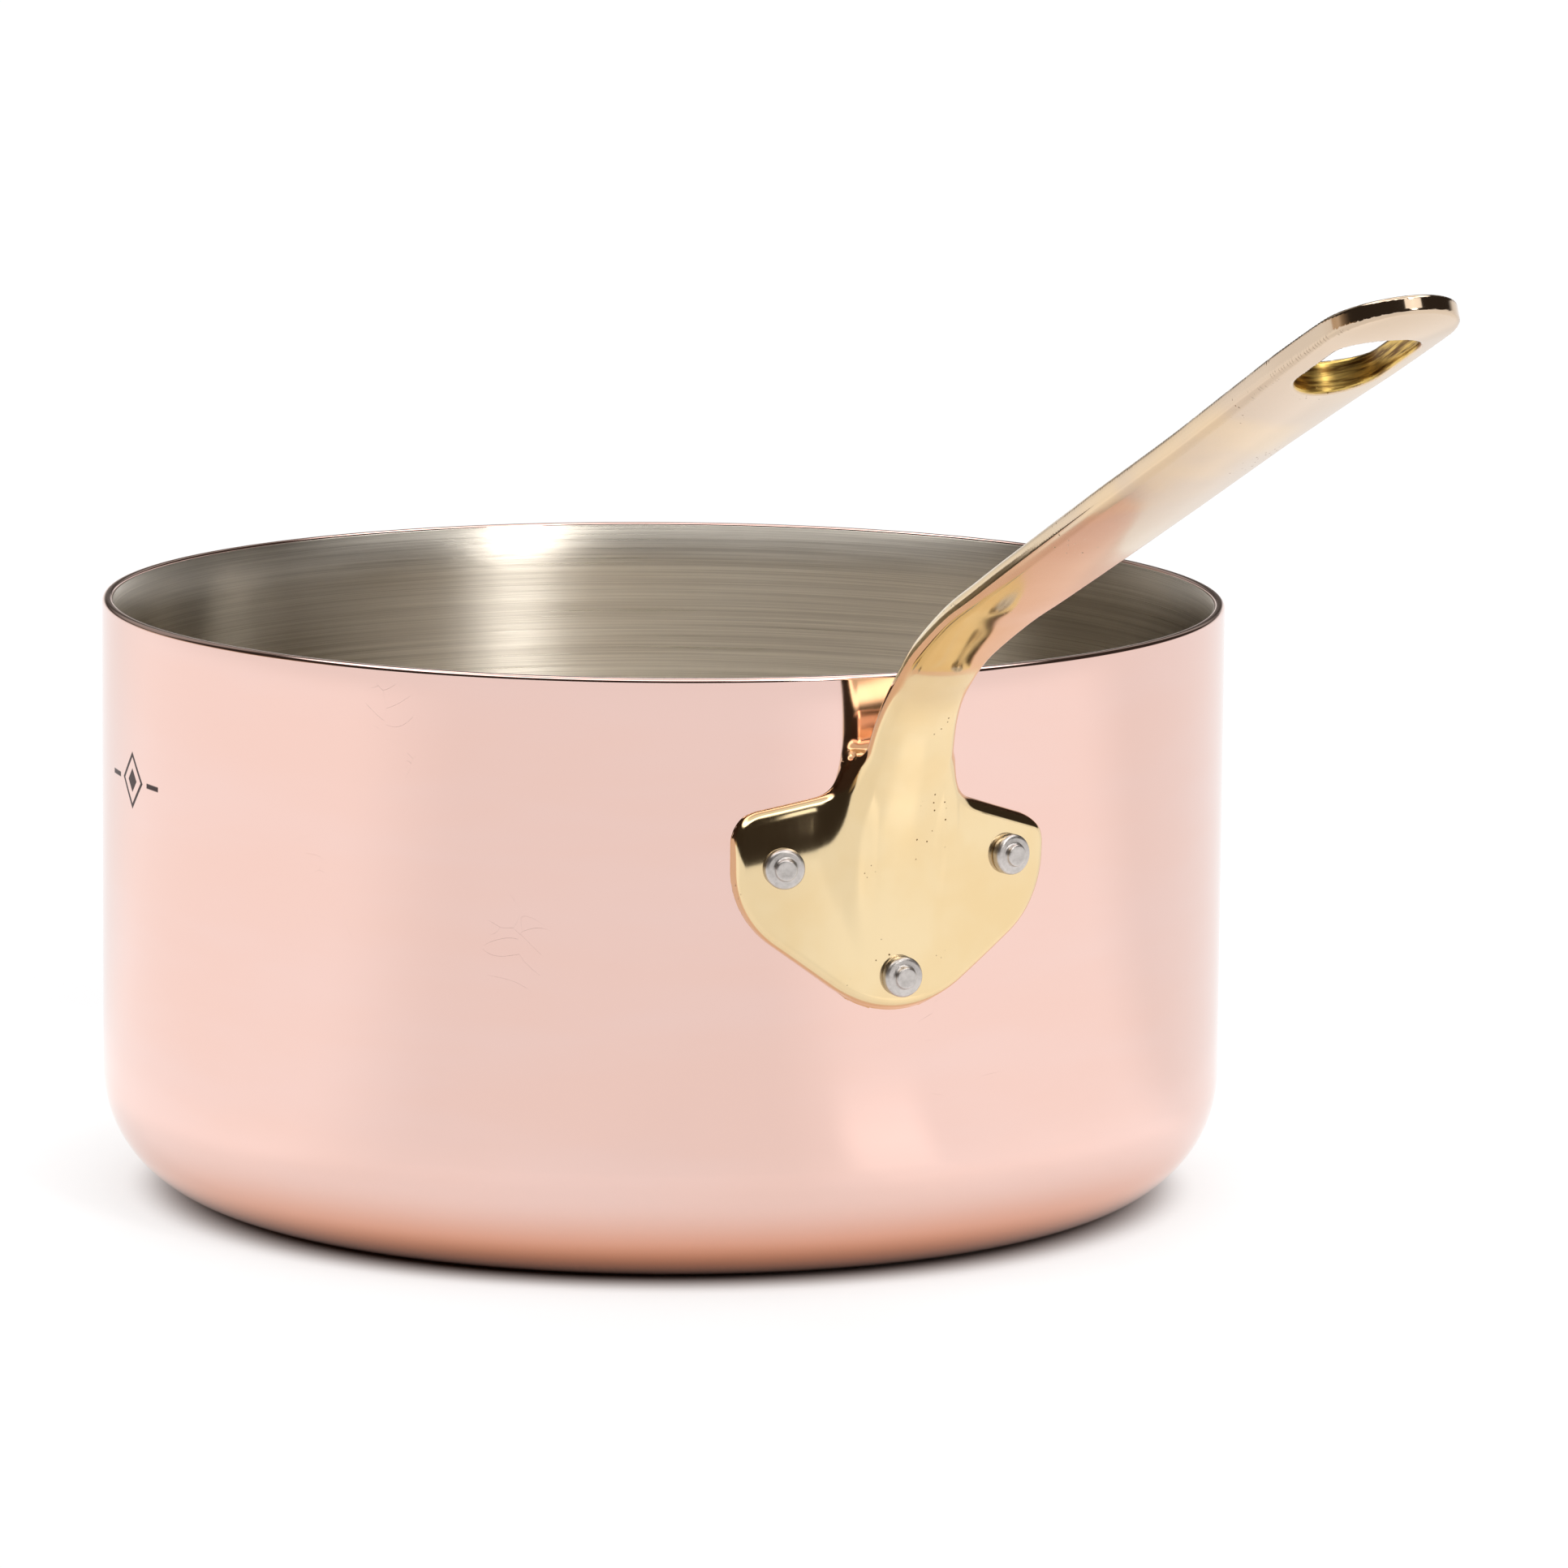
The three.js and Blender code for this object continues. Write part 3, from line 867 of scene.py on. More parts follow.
@dataclass
class PanBody:
    """Copper body and steel lining, turned from the sheet's profile; the frame gives the outer size."""

    highest: Vector
    copper_thickness: float = 1.8
    lining_thickness: float = 0.2
    bond_gap: float = 0.01
    corner_radius: float = 22.0
    flat_radius: float = 40.0
    rim_outer_rounding: float = 0.75
    rim_inner_rounding: float = 0.45
    lip_width: float = 0.08
    lip_rise: float = 0.06
    lip_fall: float = 0.02
    corner_steps: int = 20
    wall_steps: int = 10
    outer_rim_steps: int = 8
    inner_rim_steps: int = 5
    segments: int = 360

    def __post_init__(self) -> None:
        """Takes the outer size from the frame and works out the inner radius."""
        self.outer_radius = self.highest.x / MM
        self.height = self.highest.z / MM
        self.inner_radius = self.outer_radius - self.copper_thickness - self.lining_thickness

    def _corner(self, depth: float) -> list[Pair]:
        """Quarter round between floor and wall, at a depth in from the outside."""
        centre = (self.outer_radius - self.corner_radius, self.corner_radius)
        return arc(centre, self.corner_radius - depth, -90, 0, self.corner_steps)

    def _wall(self, radius: float, low: float, high: float) -> list[Pair]:
        """Points up a straight wall, its two ends left out."""
        return [(radius, low + (high - low) * i / self.wall_steps) for i in range(1, self.wall_steps)]

    def copper(self) -> bpy.types.Object:
        """Builds the copper body.

        Returns:
            The body.
        """
        outer = self.rim_outer_rounding
        inner = self.rim_inner_rounding
        lining_radius = self.outer_radius - self.copper_thickness
        profile = [(0.0, 0.0), (self.flat_radius, 0.0), *self._corner(0.0)]
        profile += self._wall(self.outer_radius, self.corner_radius, self.height - outer)
        profile += arc((self.outer_radius - outer, self.height - outer), outer, 0, 90, self.outer_rim_steps)
        profile += arc((lining_radius + inner, self.height - inner), inner, 90, 180, self.inner_rim_steps)
        profile += self._corner(self.copper_thickness)[::-1]
        profile += [(self.flat_radius, self.copper_thickness), (0.0, self.copper_thickness)]
        return lathe("PanBody", profile, self.segments)

    def lining(self) -> bpy.types.Object:
        """Builds the lining.

        Returns:
            The lining.
        """
        outside = self.outer_radius - self.copper_thickness - self.bond_gap
        total = self.copper_thickness + self.lining_thickness
        top = self.height - self.rim_inner_rounding
        under = self.copper_thickness + self.bond_gap
        profile = [(0.0, under), (self.flat_radius, under), *self._corner(under)]
        profile += [(outside, top), (outside - self.lip_width, top + self.lip_rise)]
        profile += [(self.inner_radius, top - self.lip_fall)]
        profile += self._wall(self.inner_radius, self.corner_radius, top)[::-1]
        profile += self._corner(total)[::-1]
        profile += [(self.flat_radius, total), (0.0, total)]
        return lathe("SteelLining", profile, self.segments)


# ---------------------------------------------------------------- rivets


@dataclass
class Rivet:
    """A rivet: low domed head inside, and a round-shouldered head with a small boss outside."""

    name: str
    angle: float
    height: float
    flange_radius: float
    inner_radius: float
    seat_gap: float = 0.05
    shank_radius: float = 2.5
    head_radius: float = 3.55
    head_height: float = 1.75
    head_bevel: float = 0.15
    shoulder: float = 0.75
    shoulder_turn: float = 84.0
    shoulder_steps: int = 7
    groove_width: float = 0.35
    groove_depth: float = 0.03
    boss_radius: float = 1.95
    boss_height: float = 2.7
    boss_rounding: float = 0.35
    boss_foot: float = 0.06
    boss_taper: float = 0.04
    boss_turn: float = 8.0
    boss_steps: int = 5
    hollow_radius: float = 0.9
    hollow_edge: float = 0.05
    hollow_depth: float = 0.09
    dome_radius: float = 6.0
    dome_height: float = 2.4
    dome_fullness: float = 0.9
    dome_turns: Pair = (0.12, math.pi / 2 - 0.02)
    dome_steps: int = 12
    segments: int = 64

    def _dome(self, seat: float) -> list[Pair]:
        """Profile of the head inside the pan, from its tip out to the shank.

        Args:
            seat: Height of the lining along the rivet's own axis.

        Returns:
            Points as (radius, height).
        """
        profile = [(0.0, seat - self.dome_height)]
        for turn in np.linspace(*self.dome_turns, self.dome_steps):
            fall = self.dome_height * math.cos(turn) ** self.dome_fullness
            profile.append((self.dome_radius * math.sin(turn), float(seat - fall)))
        return profile + [(self.dome_radius, seat), (self.shank_radius, seat)]

    def _head(self, seat: float) -> list[Pair]:
        """Profile of the head outside, from the shank in to the middle of its boss.

        Args:
            seat: Height of the flange's face along the rivet's own axis.

        Returns:
            Points as (radius, height).
        """
        top = seat + self.head_height
        boss_top = seat + self.boss_height
        shoulder = self.shoulder
        rounding = self.boss_rounding
        shoulder_centre = (self.head_radius - shoulder, top - shoulder)
        boss_centre = (self.boss_radius - rounding - self.boss_taper, boss_top - rounding)
        profile = [(self.shank_radius, seat), (self.head_radius - self.head_bevel, seat)]
        profile += [(self.head_radius, seat + self.head_bevel)]
        profile += arc(shoulder_centre, shoulder, 0, self.shoulder_turn, self.shoulder_steps)
        profile += [(self.boss_radius + self.groove_width, top - self.groove_depth)]
        profile += [(self.boss_radius + self.boss_foot, top + self.boss_foot)]
        profile += arc(boss_centre, rounding, self.boss_turn, 90, self.boss_steps)
        profile += [(self.hollow_radius, boss_top - self.hollow_edge)]
        return profile + [(0.0, boss_top - self.hollow_depth)]

    def build(self) -> bpy.types.Object:
        """Builds the rivet in place.

        Returns:
            The rivet.
        """
        outer_seat = self.flange_radius + self.seat_gap
        hollow = self.dome_radius ** 2 / (2 * self.inner_radius)
        inner_seat = self.inner_radius - hollow - self.seat_gap
        rivet = lathe(self.name, self._dome(inner_seat) + self._head(outer_seat), self.segments)
        aim_outward(rivet, self.angle, self.height)
        return rivet


# ---------------------------------------------------------------- handle


class HandleLine:
    """The under side of the handle in its own plane, as a smooth line with lengths along it."""

    STEP = 0.1
    STRAIGHT_STEP = 0.2
    KNOT_GAP = 12.0
    KNOT_STEPS = 60
    SETTLED = 45
    SPARSE = 20
    BATCH = 20000
    TRIES = 4

    def __init__(
        self,
        foot: tuple[Pair, ...],
        grip_start: Pair,
        grip_angle: float,
        grip_length: float,
        zero: Pair,
    ) -> None:
        """Draws the line through the foot's points and on along the straight grip.

        Args:
            foot: Points as (radius, height) from the flange up to the grip.
            grip_start: Where the straight grip starts.
            grip_angle: The grip's rise, in radians.
            grip_length: The grip's length.
            zero: The point from which lengths are counted.
        """
        along = np.array([math.cos(grip_angle), math.sin(grip_angle)])
        start = np.array(grip_start)
        gap = self.KNOT_GAP
        knots = [np.array(p, float) for p in foot] + [start, start + along * gap, start + along * 2 * gap]
        beyond = np.arange(2 * gap + self.STRAIGHT_STEP, grip_length + gap, self.STRAIGHT_STEP)
        path = np.concatenate([self._through(knots), start + along * beyond[:, None]])
        self.points = self._even(self._settle(self._even(path)))
        run = np.gradient(self.points, axis=0)
        self.tangents = run / np.linalg.norm(run, axis=1)[:, None]
        offset = np.linalg.norm(self.points - np.array(zero), axis=1).argmin()
        self.first = -offset * self.STEP
        self.grip_at = self.length_of(start)

    def _through(self, knots: list[Array]) -> Array:
        """A curve through knots, with tangents from each knot's neighbours.

        Args:
            knots: The points that it passes.

        Returns:
            Points along the curve, one row each.
        """
        spots = np.array([2 * knots[0] - knots[1], *knots, 2 * knots[-1] - knots[-2]])
        share = np.linspace(0, 1, self.KNOT_STEPS, endpoint=False)[:, None]
        pieces = []
        for before, a, b, after in zip(spots, spots[1:], spots[2:], spots[3:]):
            linear = (b - before) * share
            square = (2 * before - 5 * a + 4 * b - after) * share ** 2
            cube = (3 * a - before - 3 * b + after) * share ** 3
            pieces.append(0.5 * (2 * a + linear + square + cube))
        return np.concatenate(pieces)

    def _even(self, path: Array) -> Array:
        """Moves a path's points to even steps.

        Args:
            path: Points along the path.

        Returns:
            The evenly spaced points.
        """
        lengths = np.concatenate([[0], np.cumsum(np.linalg.norm(np.diff(path, axis=0), axis=1))])
        even = np.arange(0, lengths[-1], self.STEP)
        return np.stack([np.interp(even, lengths, path[:, k]) for k in range(2)], 1)

    def _settle(self, path: Array) -> Array:
        """Evens out a path's small bends.

        Args:
            path: Evenly spaced points along the path.

        Returns:
            The smoother path's points.
        """
        reach = self.SETTLED
        window = np.hanning(2 * reach + 3)[1:-1]
        window = window / window.sum()
        padded = [np.pad(path[:, k], reach, mode="reflect", reflect_type="odd") for k in range(2)]
        return np.stack([np.convolve(line, window, mode="valid") for line in padded], 1)

    def length_of(self, spot: Array) -> float:
        """Length along the line at the point nearest to a spot."""
        return float(self.first + np.linalg.norm(self.points - spot, axis=1).argmin() * self.STEP)

    def measure(self, x: Array, z: Array) -> tuple[Array, Array]:
        """Length along the line and depth above it, for points in the handle's plane.

        Args:
            x: Radii of the points.
            z: Their heights.

        Returns:
            Length along the line, and depth, which is positive on the upper side.
        """
        rough = self.points[::self.SPARSE]
        nearest = np.empty(x.shape, int)
        for low in range(0, len(x), self.BATCH):
            part = slice(low, low + self.BATCH)
            gap = (x[part, None] - rough[None, :, 0]) ** 2 + (z[part, None] - rough[None, :, 1]) ** 2
            nearest[part] = gap.argmin(1) * self.SPARSE
        place = nearest.astype(float)
        last = len(self.points) - 1
        for _ in range(self.TRIES):
            low = np.clip(place.astype(int), 0, last - 1)
            part = place - low
            spot = self.points[low] + (self.points[low + 1] - self.points[low]) * part[:, None]
            tangent = self.tangents[low] + (self.tangents[low + 1] - self.tangents[low]) * part[:, None]
            ahead = (x - spot[:, 0]) * tangent[:, 0] + (z - spot[:, 1]) * tangent[:, 1]
            place = np.clip(place + ahead / self.STEP, 0, last)
        depth = (z - spot[:, 1]) * tangent[:, 0] - (x - spot[:, 0]) * tangent[:, 1]
        return self.first + place * self.STEP, depth


class Stations:
    """A size that changes smoothly along the handle."""

    LOW = -30.0
    HIGH = 320.0
    SPACING = 0.5
    REACH = 7.0

    def __init__(self, table: list[Pair]) -> None:
        """Evens out a table of sizes.

        Args:
            table: Rows of (length, size), in order.
        """
        self.lengths = np.arange(self.LOW, self.HIGH, self.SPACING)
        straight = np.interp(self.lengths, [s for s, _ in table], [v for _, v in table])
        half = int(self.REACH / self.SPACING)
        window = np.hanning(2 * half + 3)[1:-1]
        self.sizes = np.convolve(np.pad(straight, half, mode="edge"), window / window.sum(), mode="valid")

    def at(self, length: Array) -> Array:
        """The size at each length."""
        return np.interp(length, self.lengths, self.sizes)


@dataclass
class BrassHandle:
    """Flange, stem, grip and hanging eye, cast in one and polished over.

    The surface is worked out as a signed distance. Values for the two sides of the handle are kept by the
    sign of Y. Steps given as pairs say where a change starts and ends.
    """

    wall_radius: float
    seat_gap: float = 0.1
    flange_thickness: float = 3.5
    half_span: float = 29.0
    foot_height: float = 45.65
    foot_radius: float = 20.5
    hip_height: float = 66.9
    hip_radius: float = 16.5
    lobe_radius: float = 6.3
    lobe_top: dict[int, float] = field(default_factory=lambda: {1: 81.6, -1: 84.8})
    lobe_fall: dict[int, float] = field(default_factory=lambda: {1: 2.4, -1: 11.8})
    lobe_fall_step: Pair = (-8.0, 8.0)
    stem_top: dict[int, float] = field(default_factory=lambda: {1: 88.1, -1: 88.9})
    top_step: Pair = (-4.0, 4.0)
    neck_half: float = 9.2
    neck_top: float = 94.4
    neck_fillet: float = 5.0
    neck_corner: float = 0.8
    flange_edge: float = 1.8
    lobe_edge_less: float = 0.8
    lobe_edge_heights: Pair = (68.0, 82.0)
    least_depth: float = 0.05
    back_edge: float = 0.35
    stem_blend: float = 3.2
    side_blend: float = 4.0
    side_blend_step: Pair = (5.0, 10.0)
    side_blend_heights: Pair = (60.0, 80.0)
    clear_from: float = 60.0
    grip_angle: float = math.radians(24.1)
    grip_length: float = 169.3
    grip_start: Pair = (140.0, 122.1)
    end_radius: float = 10.9
    end_length: float = 13.0
    under_crown: float = 1.25
    upper_crown: float = 0.8
    upper_crown_step: Pair = (40.0, 90.0)
    crown_reach: float = 1.2
    eye_centre: float = 145.0
    eye_length: float = 26.7
    eye_width: float = 14.0
    eye_rounding: float = 0.7
    hole_radius: float = 2.65
    foot: tuple[Pair, ...] = (
        (101.0, 50.0), (102.6, 62.0), (104.4, 74.0), (107.1, 87.0), (110.2, 95.0), (112.2, 100.0),
        (115.6, 105.0), (119.7, 109.0), (126.0, 114.3),
    )
    zero_point: int = 2
    voxel: float = 0.4
    rounds: int = 7
    still_rounds: int = 3
    longest_move: float = 1.5
    least_slope: float = 0.2
    slope_step: float = 0.03
    relaxing: float = 0.6

    def __post_init__(self) -> None:
        """Works out the handle's line, outline and changing sizes."""
        self.line = HandleLine(
            self.foot, self.grip_start, self.grip_angle, self.grip_length, self.foot[self.zero_point])
        grip = self.line.grip_at
        self.half_width = Stations([
            (-20, 9.0), (0, 9.0), (12, 8.8), (20, 8.15), (25.5, 7.65), (31.5, 7.1), (37, 6.9), (45, 7.3),
            (grip, 8.4), (grip + 28, 9.1), (grip + 66, 9.7), (grip + 100, 9.8), (grip + 121, 10.4),
            (grip + 138, 11.0), (grip + 152, self.end_radius), (grip + 200, self.end_radius),
        ])
        self.thickness = Stations([
            (0, 5.2), (20, 4.6), (40, 4.4), (grip, 4.0), (grip + 90, 3.5), (grip + 120, 3.6),
            (grip + 152, 3.4), (grip + self.grip_length, 2.8),
        ])
        self.under_rounding = Stations([
            (0, 2.0), (45, 1.6), (grip + 20, 1.4), (grip + 125, 1.4), (grip + 150, 0.6), (grip + 163, 0.5),
        ])
        self.upper_rounding = Stations([
            (0, 2.8), (45, 2.8), (grip + 20, 1.8), (grip + 70, 1.1), (grip + 125, 1.0), (grip + 150, 0.6),
            (grip + 163, 0.5),
        ])
        self.outline = RoundedOutline([
            OutlineCorner(0.0, self.foot_height, self.foot_radius),
            *self._side_corners(1),
            *self._side_corners(-1)[::-1],
        ])
        self.end_centre = grip + self.grip_length - self.end_length

    def _side_corners(self, side: int) -> list[OutlineCorner]:
        """Corners of one side of the flange, upwards.

        Args:
            side: 1 for +Y and -1 for -Y.

        Returns:
            The hip's, lobe's, stem's and neck's corners.
        """
        return [
            OutlineCorner(side * self.half_span, self.hip_height, self.hip_radius),
            OutlineCorner(side * self.half_span, self.lobe_top[side], self.lobe_radius),
            OutlineCorner(side * self.neck_half, self.stem_top[side], self.neck_fillet),
            OutlineCorner(side * self.neck_half, self.neck_top, self.neck_corner),
        ]

    def eye(self) -> HangingEye:
        """The hanging eye's place and size in metres.

        Returns:
            The hanging eye.
        """
        end_radius = self.eye_width / 2
        return HangingEye(
            origin=(self.grip_start[0] * MM, self.grip_start[1] * MM),
            direction=(math.cos(self.grip_angle), math.sin(self.grip_angle)),
            centre=self.eye_centre * MM,
            straight_half=(self.eye_length / 2 - end_radius) * MM,
            end_radius=end_radius * MM,
        )

    @staticmethod
    def _by_side(sizes: dict[int, float], share: Array) -> Array:
        """A size that goes from the -Y side's to the +Y side's."""
        return sizes[-1] * (1 - share) + sizes[1] * share

    def _below_top(self, across: Array, height: Array) -> Array:
        """How far points of the flange lie inside its upper edge, which turns up along the neck.

        Args:
            across: The points' places along Y.
            height: Their heights.

        Returns:
            Lengths, positive inside.
        """
        share = smooth_step(*self.top_step, across)
        stem_top = self._by_side(self.stem_top, share)
        fall = (stem_top - self._by_side(self.lobe_top, share)) / (self.half_span - self.neck_half)
        beside = np.abs(across) - self.neck_half
        above = (height - stem_top + beside * fall) / np.hypot(1, fall)
        return -round_min(above, beside, self.neck_fillet)

    def _plate(self, spots: Array, radius: Array) -> Array:
        """Distance to the flange, which thins in a long soft curve towards its upper edge.

        Args:
            spots: Points, one row each.
            radius: Their distances from the pan's axis.

        Returns:
            Distances, negative inside.
        """
        inward = self._below_top(spots[:, 1], spots[:, 2])
        thickness = self.flange_thickness
        fall = self._by_side(self.lobe_fall, smooth_step(*self.lobe_fall_step, spots[:, 1]))
        over = np.maximum(fall - inward, 0) / fall
        out = np.maximum(radius - self.wall_radius - self.seat_gap, self.least_depth) / thickness
        reach = np.hypot(over, out)
        face = reach * (reach - 1) / np.hypot(over / fall, out / thickness)
        edge = self.flange_edge - self.lobe_edge_less * smooth_step(*self.lobe_edge_heights, spots[:, 2])
        return round_max(self.outline.distance(spots[:, 1], spots[:, 2]), face, edge)

    def _bar(self, spots: Array) -> tuple[Array, Array]:
        """Distance to the stem and grip.

        Args:
            spots: Points, one row each.

        Returns:
            Distances, negative inside, and the lengths along the handle.
        """
        length, depth = self.line.measure(spots[:, 0], spots[:, 2])
        half = self.half_width.at(length)
        past_end = np.maximum(length - self.end_centre, 0) * self.end_radius / self.end_length
        out = np.hypot(past_end, spots[:, 1])
        rise = 1 - np.clip(out / half, 0, self.crown_reach) ** 2
        upper_crown = self.upper_crown * smooth_step(*self.upper_crown_step, length)
        under = -depth - self.under_crown * rise
        top = depth - self.thickness.at(length) - upper_crown * rise
        shell = round_max(out - half, under, self.under_rounding.at(length))
        return round_max(shell, top, self.upper_rounding.at(length)), length

    def _eye_distance(self, spots: Array, length: Array) -> Array:
        """Distance to the hanging eye's hole.

        Args:
            spots: Points, one row each.
            length: Their lengths along the handle.

        Returns:
            Distances, negative inside the hole.
        """
        end = self.eye_width / 2
        from_centre = length - self.line.grip_at - self.eye_centre
        reach = np.maximum(np.abs(from_centre) - (self.eye_length / 2 - end), 0)
        return np.hypot(reach, spots[:, 1]) - end

    def surface(self, spots: Array, holes: list[Pair]) -> Array:
        """Signed distance to the handle's surface.

        Args:
            spots: Points in millimetres, one row each.
            holes: Angle and height of each rivet hole.

        Returns:
            Distances, negative inside the metal.
        """
        radius = np.hypot(spots[:, 0], spots[:, 1])
        plate = self._plate(spots, radius)
        bar, length = self._bar(spots)
        beside = smooth_step(*self.side_blend_step, np.abs(spots[:, 1]))
        high = smooth_step(*self.side_blend_heights, spots[:, 2])
        body = smooth_min(plate, bar, self.stem_blend + self.side_blend * beside * high)
        body = np.where(length > self.clear_from, bar, body)
        body = round_max(body, self.wall_radius + self.seat_gap - radius, self.back_edge)
        body = round_max(body, -self._eye_distance(spots, length), self.eye_rounding)
        for angle, height in holes:
            sideways = spots[:, 1] * math.cos(angle) - spots[:, 0] * math.sin(angle)
            outward = spots[:, 0] * math.cos(angle) + spots[:, 1] * math.sin(angle)
            hole = np.hypot(sideways, spots[:, 2] - height) - self.hole_radius
            body = np.maximum(body, np.where(outward > 0, -hole, -RoundedOutline.FAR))
        return body

    def _slope(self, spots: Array, distance: Callable[[Array], Array]) -> Array:
        """The distance's slope, by small steps.

        Args:
            spots: Points, one row each.
            distance: The signed distance.

        Returns:
            The slope at each point, one row each.
        """
        parts = []
        for axis in range(3):
            nudge = np.zeros(3)
            nudge[axis] = self.slope_step
            rise = distance(spots + nudge) - distance(spots - nudge)
            parts.append(rise / (2 * self.slope_step))
        return np.stack(parts, 1)

    def _even_quads(self, node: bpy.types.Object) -> bpy.types.Object:
        """Copies the CAD shape and covers it with small even quads.

        Args:
            node: The handle's CAD node.

        Returns:
            The copy, linked into the scene.
        """
        handle = bpy.data.objects.new("BrassHandle", node.data.copy())
        bpy.context.scene.collection.objects.link(handle)
        remesh = handle.modifiers.new("even_quads", "REMESH")
        remesh.mode = "VOXEL"
        remesh.voxel_size = self.voxel * MM
        evaluated = handle.evaluated_get(bpy.context.evaluated_depsgraph_get())
        mesh = bpy.data.meshes.new_from_object(evaluated)
        handle.modifiers.clear()
        handle.data = mesh
        mesh.materials.clear()
        return handle

    def build(self, node: bpy.types.Object, holes: list[Pair]) -> bpy.types.Object:
        """Builds the handle: small even quads over the CAD shape, drawn onto the smooth surface.

        Args:
            node: The handle's CAD node, which is copied.
            holes: Angle and height of each rivet hole.

        Returns:
            The handle.
        """
        handle = self._even_quads(node)
        mesh = handle.data
        spots = np.empty(len(mesh.vertices) * 3)
        mesh.vertices.foreach_get("co", spots)
        spots = spots.reshape(-1, 3) / MM
        pairs = np.empty(len(mesh.edges) * 2, int)
        mesh.edges.foreach_get("vertices", pairs)
        pairs = pairs.reshape(-1, 2)

        def distance(points: Array) -> Array:
            """Signed distance to this handle."""
            return self.surface(points, holes)

        for turn in range(self.rounds):
            slope = self._slope(spots, distance)
            steep = np.maximum((slope ** 2).sum(1), self.least_slope)
            move = -(distance(spots) / steep)[:, None] * slope
            spots = spots + np.clip(move, -self.longest_move, self.longest_move)
            if turn < self.rounds - self.still_rounds:
                spots = self._relax(spots, pairs, slope)
        normals = self._slope(spots, distance)
        normals /= np.linalg.norm(normals, axis=1)[:, None]
        mesh.vertices.foreach_set("co", (spots * MM).ravel())
        mesh.shade_smooth()
        mesh.normals_split_custom_set_from_vertices(normals.tolist())
        mesh.update()
        return handle

    def _relax(self, spots: Array, pairs: Array, slope: Array) -> Array:
        """Evens the quads out by sliding each point along the surface to its neighbours' middle.

        Args:
            spots: Points, one row each.
            pairs: The two points of each edge.
            slope: The distance's slope at each point.

        Returns:
            The moved points.
        """
        total = np.zeros_like(spots)
        count = np.zeros(len(spots))
        for a, b in ((0, 1), (1, 0)):
            for axis in range(3):
                total[:, axis] += np.bincount(pairs[:, a], spots[pairs[:, b], axis], len(spots))
            count += np.bincount(pairs[:, a], minlength=len(spots))
        middle = total / np.maximum(count, 1)[:, None]
        normal = slope / np.maximum(np.linalg.norm(slope, axis=1), 1e-6)[:, None]
        shift = middle - spots
        shift -= (shift * normal).sum(1)[:, None] * normal
        return spots + self.relaxing * shift


# ---------------------------------------------------------------- studio


@dataclass(frozen=True)
class SoftCard:
    """A patch of light on the studio's dome, with angles in degrees; azimuth 0 is +X and 90 is +Y."""

    azimuth: float
    half_width: float
    low: float
    high: float
    colour: Colour
    strength: float
    soft: float

    def shine(self) -> Colour:
        """Its colour at its strength."""
        return tuple(part * self.strength for part in self.colour[:3]) + (1.0,)


@dataclass(frozen=True)
class FloorPatch:
    """A brighter patch of floor between two radii in metres; azimuths are in degrees, 0 is +X."""

    azimuth: float
    half_width: float
    near: float
    far: float
    extra: float
    soft: float


@dataclass(frozen=True)
class Floor:
    """Pale matt paper that glows a little, unevenly, and stays dark under the pan; radii in metres."""

    rings: tuple[float, ...] = (0.15, 0.4, 1.2, 4.0, 14.0)
    steps: int = 96
    colour: Colour = (0.385, 0.385, 0.39, 1.0)
    dim: Colour = (0.38, 0.38, 0.385, 1.0)
    grain: Grain = Grain(60.0, 3.0)
    glow: float = 0.635
    glow_uneven: float = 0.01
    glow_radii: Pair = (0.084, 0.099)
    near_fade: float = 1.5
    far_fade: Pair = (0.8, 1.2)
    patches: tuple[FloorPatch, ...] = (
        FloorPatch(-115.0, 42.0, 0.10, 1.2, 0.13, 14.0),
        FloorPatch(38.0, 34.0, 0.10, 1.2, 0.13, 10.0),
        FloorPatch(13.0, 7.0, 0.15, 0.27, 0.16, 3.0),
        FloorPatch(0.0, 190.0, 0.06, 0.18, 0.06, 3.0),
    )

    def build(self) -> None:
        """Lays the floor as a round sheet of rings."""
        turns = np.linspace(0, 2 * math.pi, self.steps, endpoint=False)
        points = [(0.0, 0.0, 0.0)]
        for radius in self.rings:
            points += [(radius * math.cos(t) / MM, radius * math.sin(t) / MM, 0.0) for t in turns]
        faces: list[tuple[int, ...]] = [(0, 1 + k, 1 + (k + 1) % self.steps) for k in range(self.steps)]
        for ring in range(len(self.rings) - 1):
            start = 1 + ring * self.steps
            outer = start + self.steps
            for k in range(self.steps):
                after = (k + 1) % self.steps
                faces.append((start + k, outer + k, outer + after, start + after))
        floor = mesh_object("Floor", np.array(points), faces)
        floor.data.materials.append(self._material())

    def _material(self) -> bpy.types.Material:
        """Builds the paper's material.

        Returns:
            The material.
        """
        material, graph = new_material("floor_paper")
        point = graph.object_point()
        grain = graph.noise(point, self.grain)
        x, y, _ = graph.axes(point)
        reach = graph.length(x, y)
        azimuth = graph.math("ARCTAN2", y, x) * DEGREES
        glow = self.glow + self.glow_uneven * grain.centred()
        for patch in self.patches:
            across = graph.facing(azimuth, patch.azimuth, patch.half_width, patch.soft)
            near = reach.ramp(patch.near, patch.near * self.near_fade)
            far = reach.below(patch.far * self.far_fade[0], patch.far * self.far_fade[1])
            glow = glow + patch.extra * across * near * far
        glow = glow * reach.ramp(*self.glow_radii)
        graph.principled({
            "Base Color": graph.mix_colour(grain, self.dim, self.colour),
            "Roughness": 1.0,
            "Specular IOR Level": 0.0,
            "Emission Color": graph.point(glow, glow, glow),
            "Emission Strength": 1.0,
        })
        return material


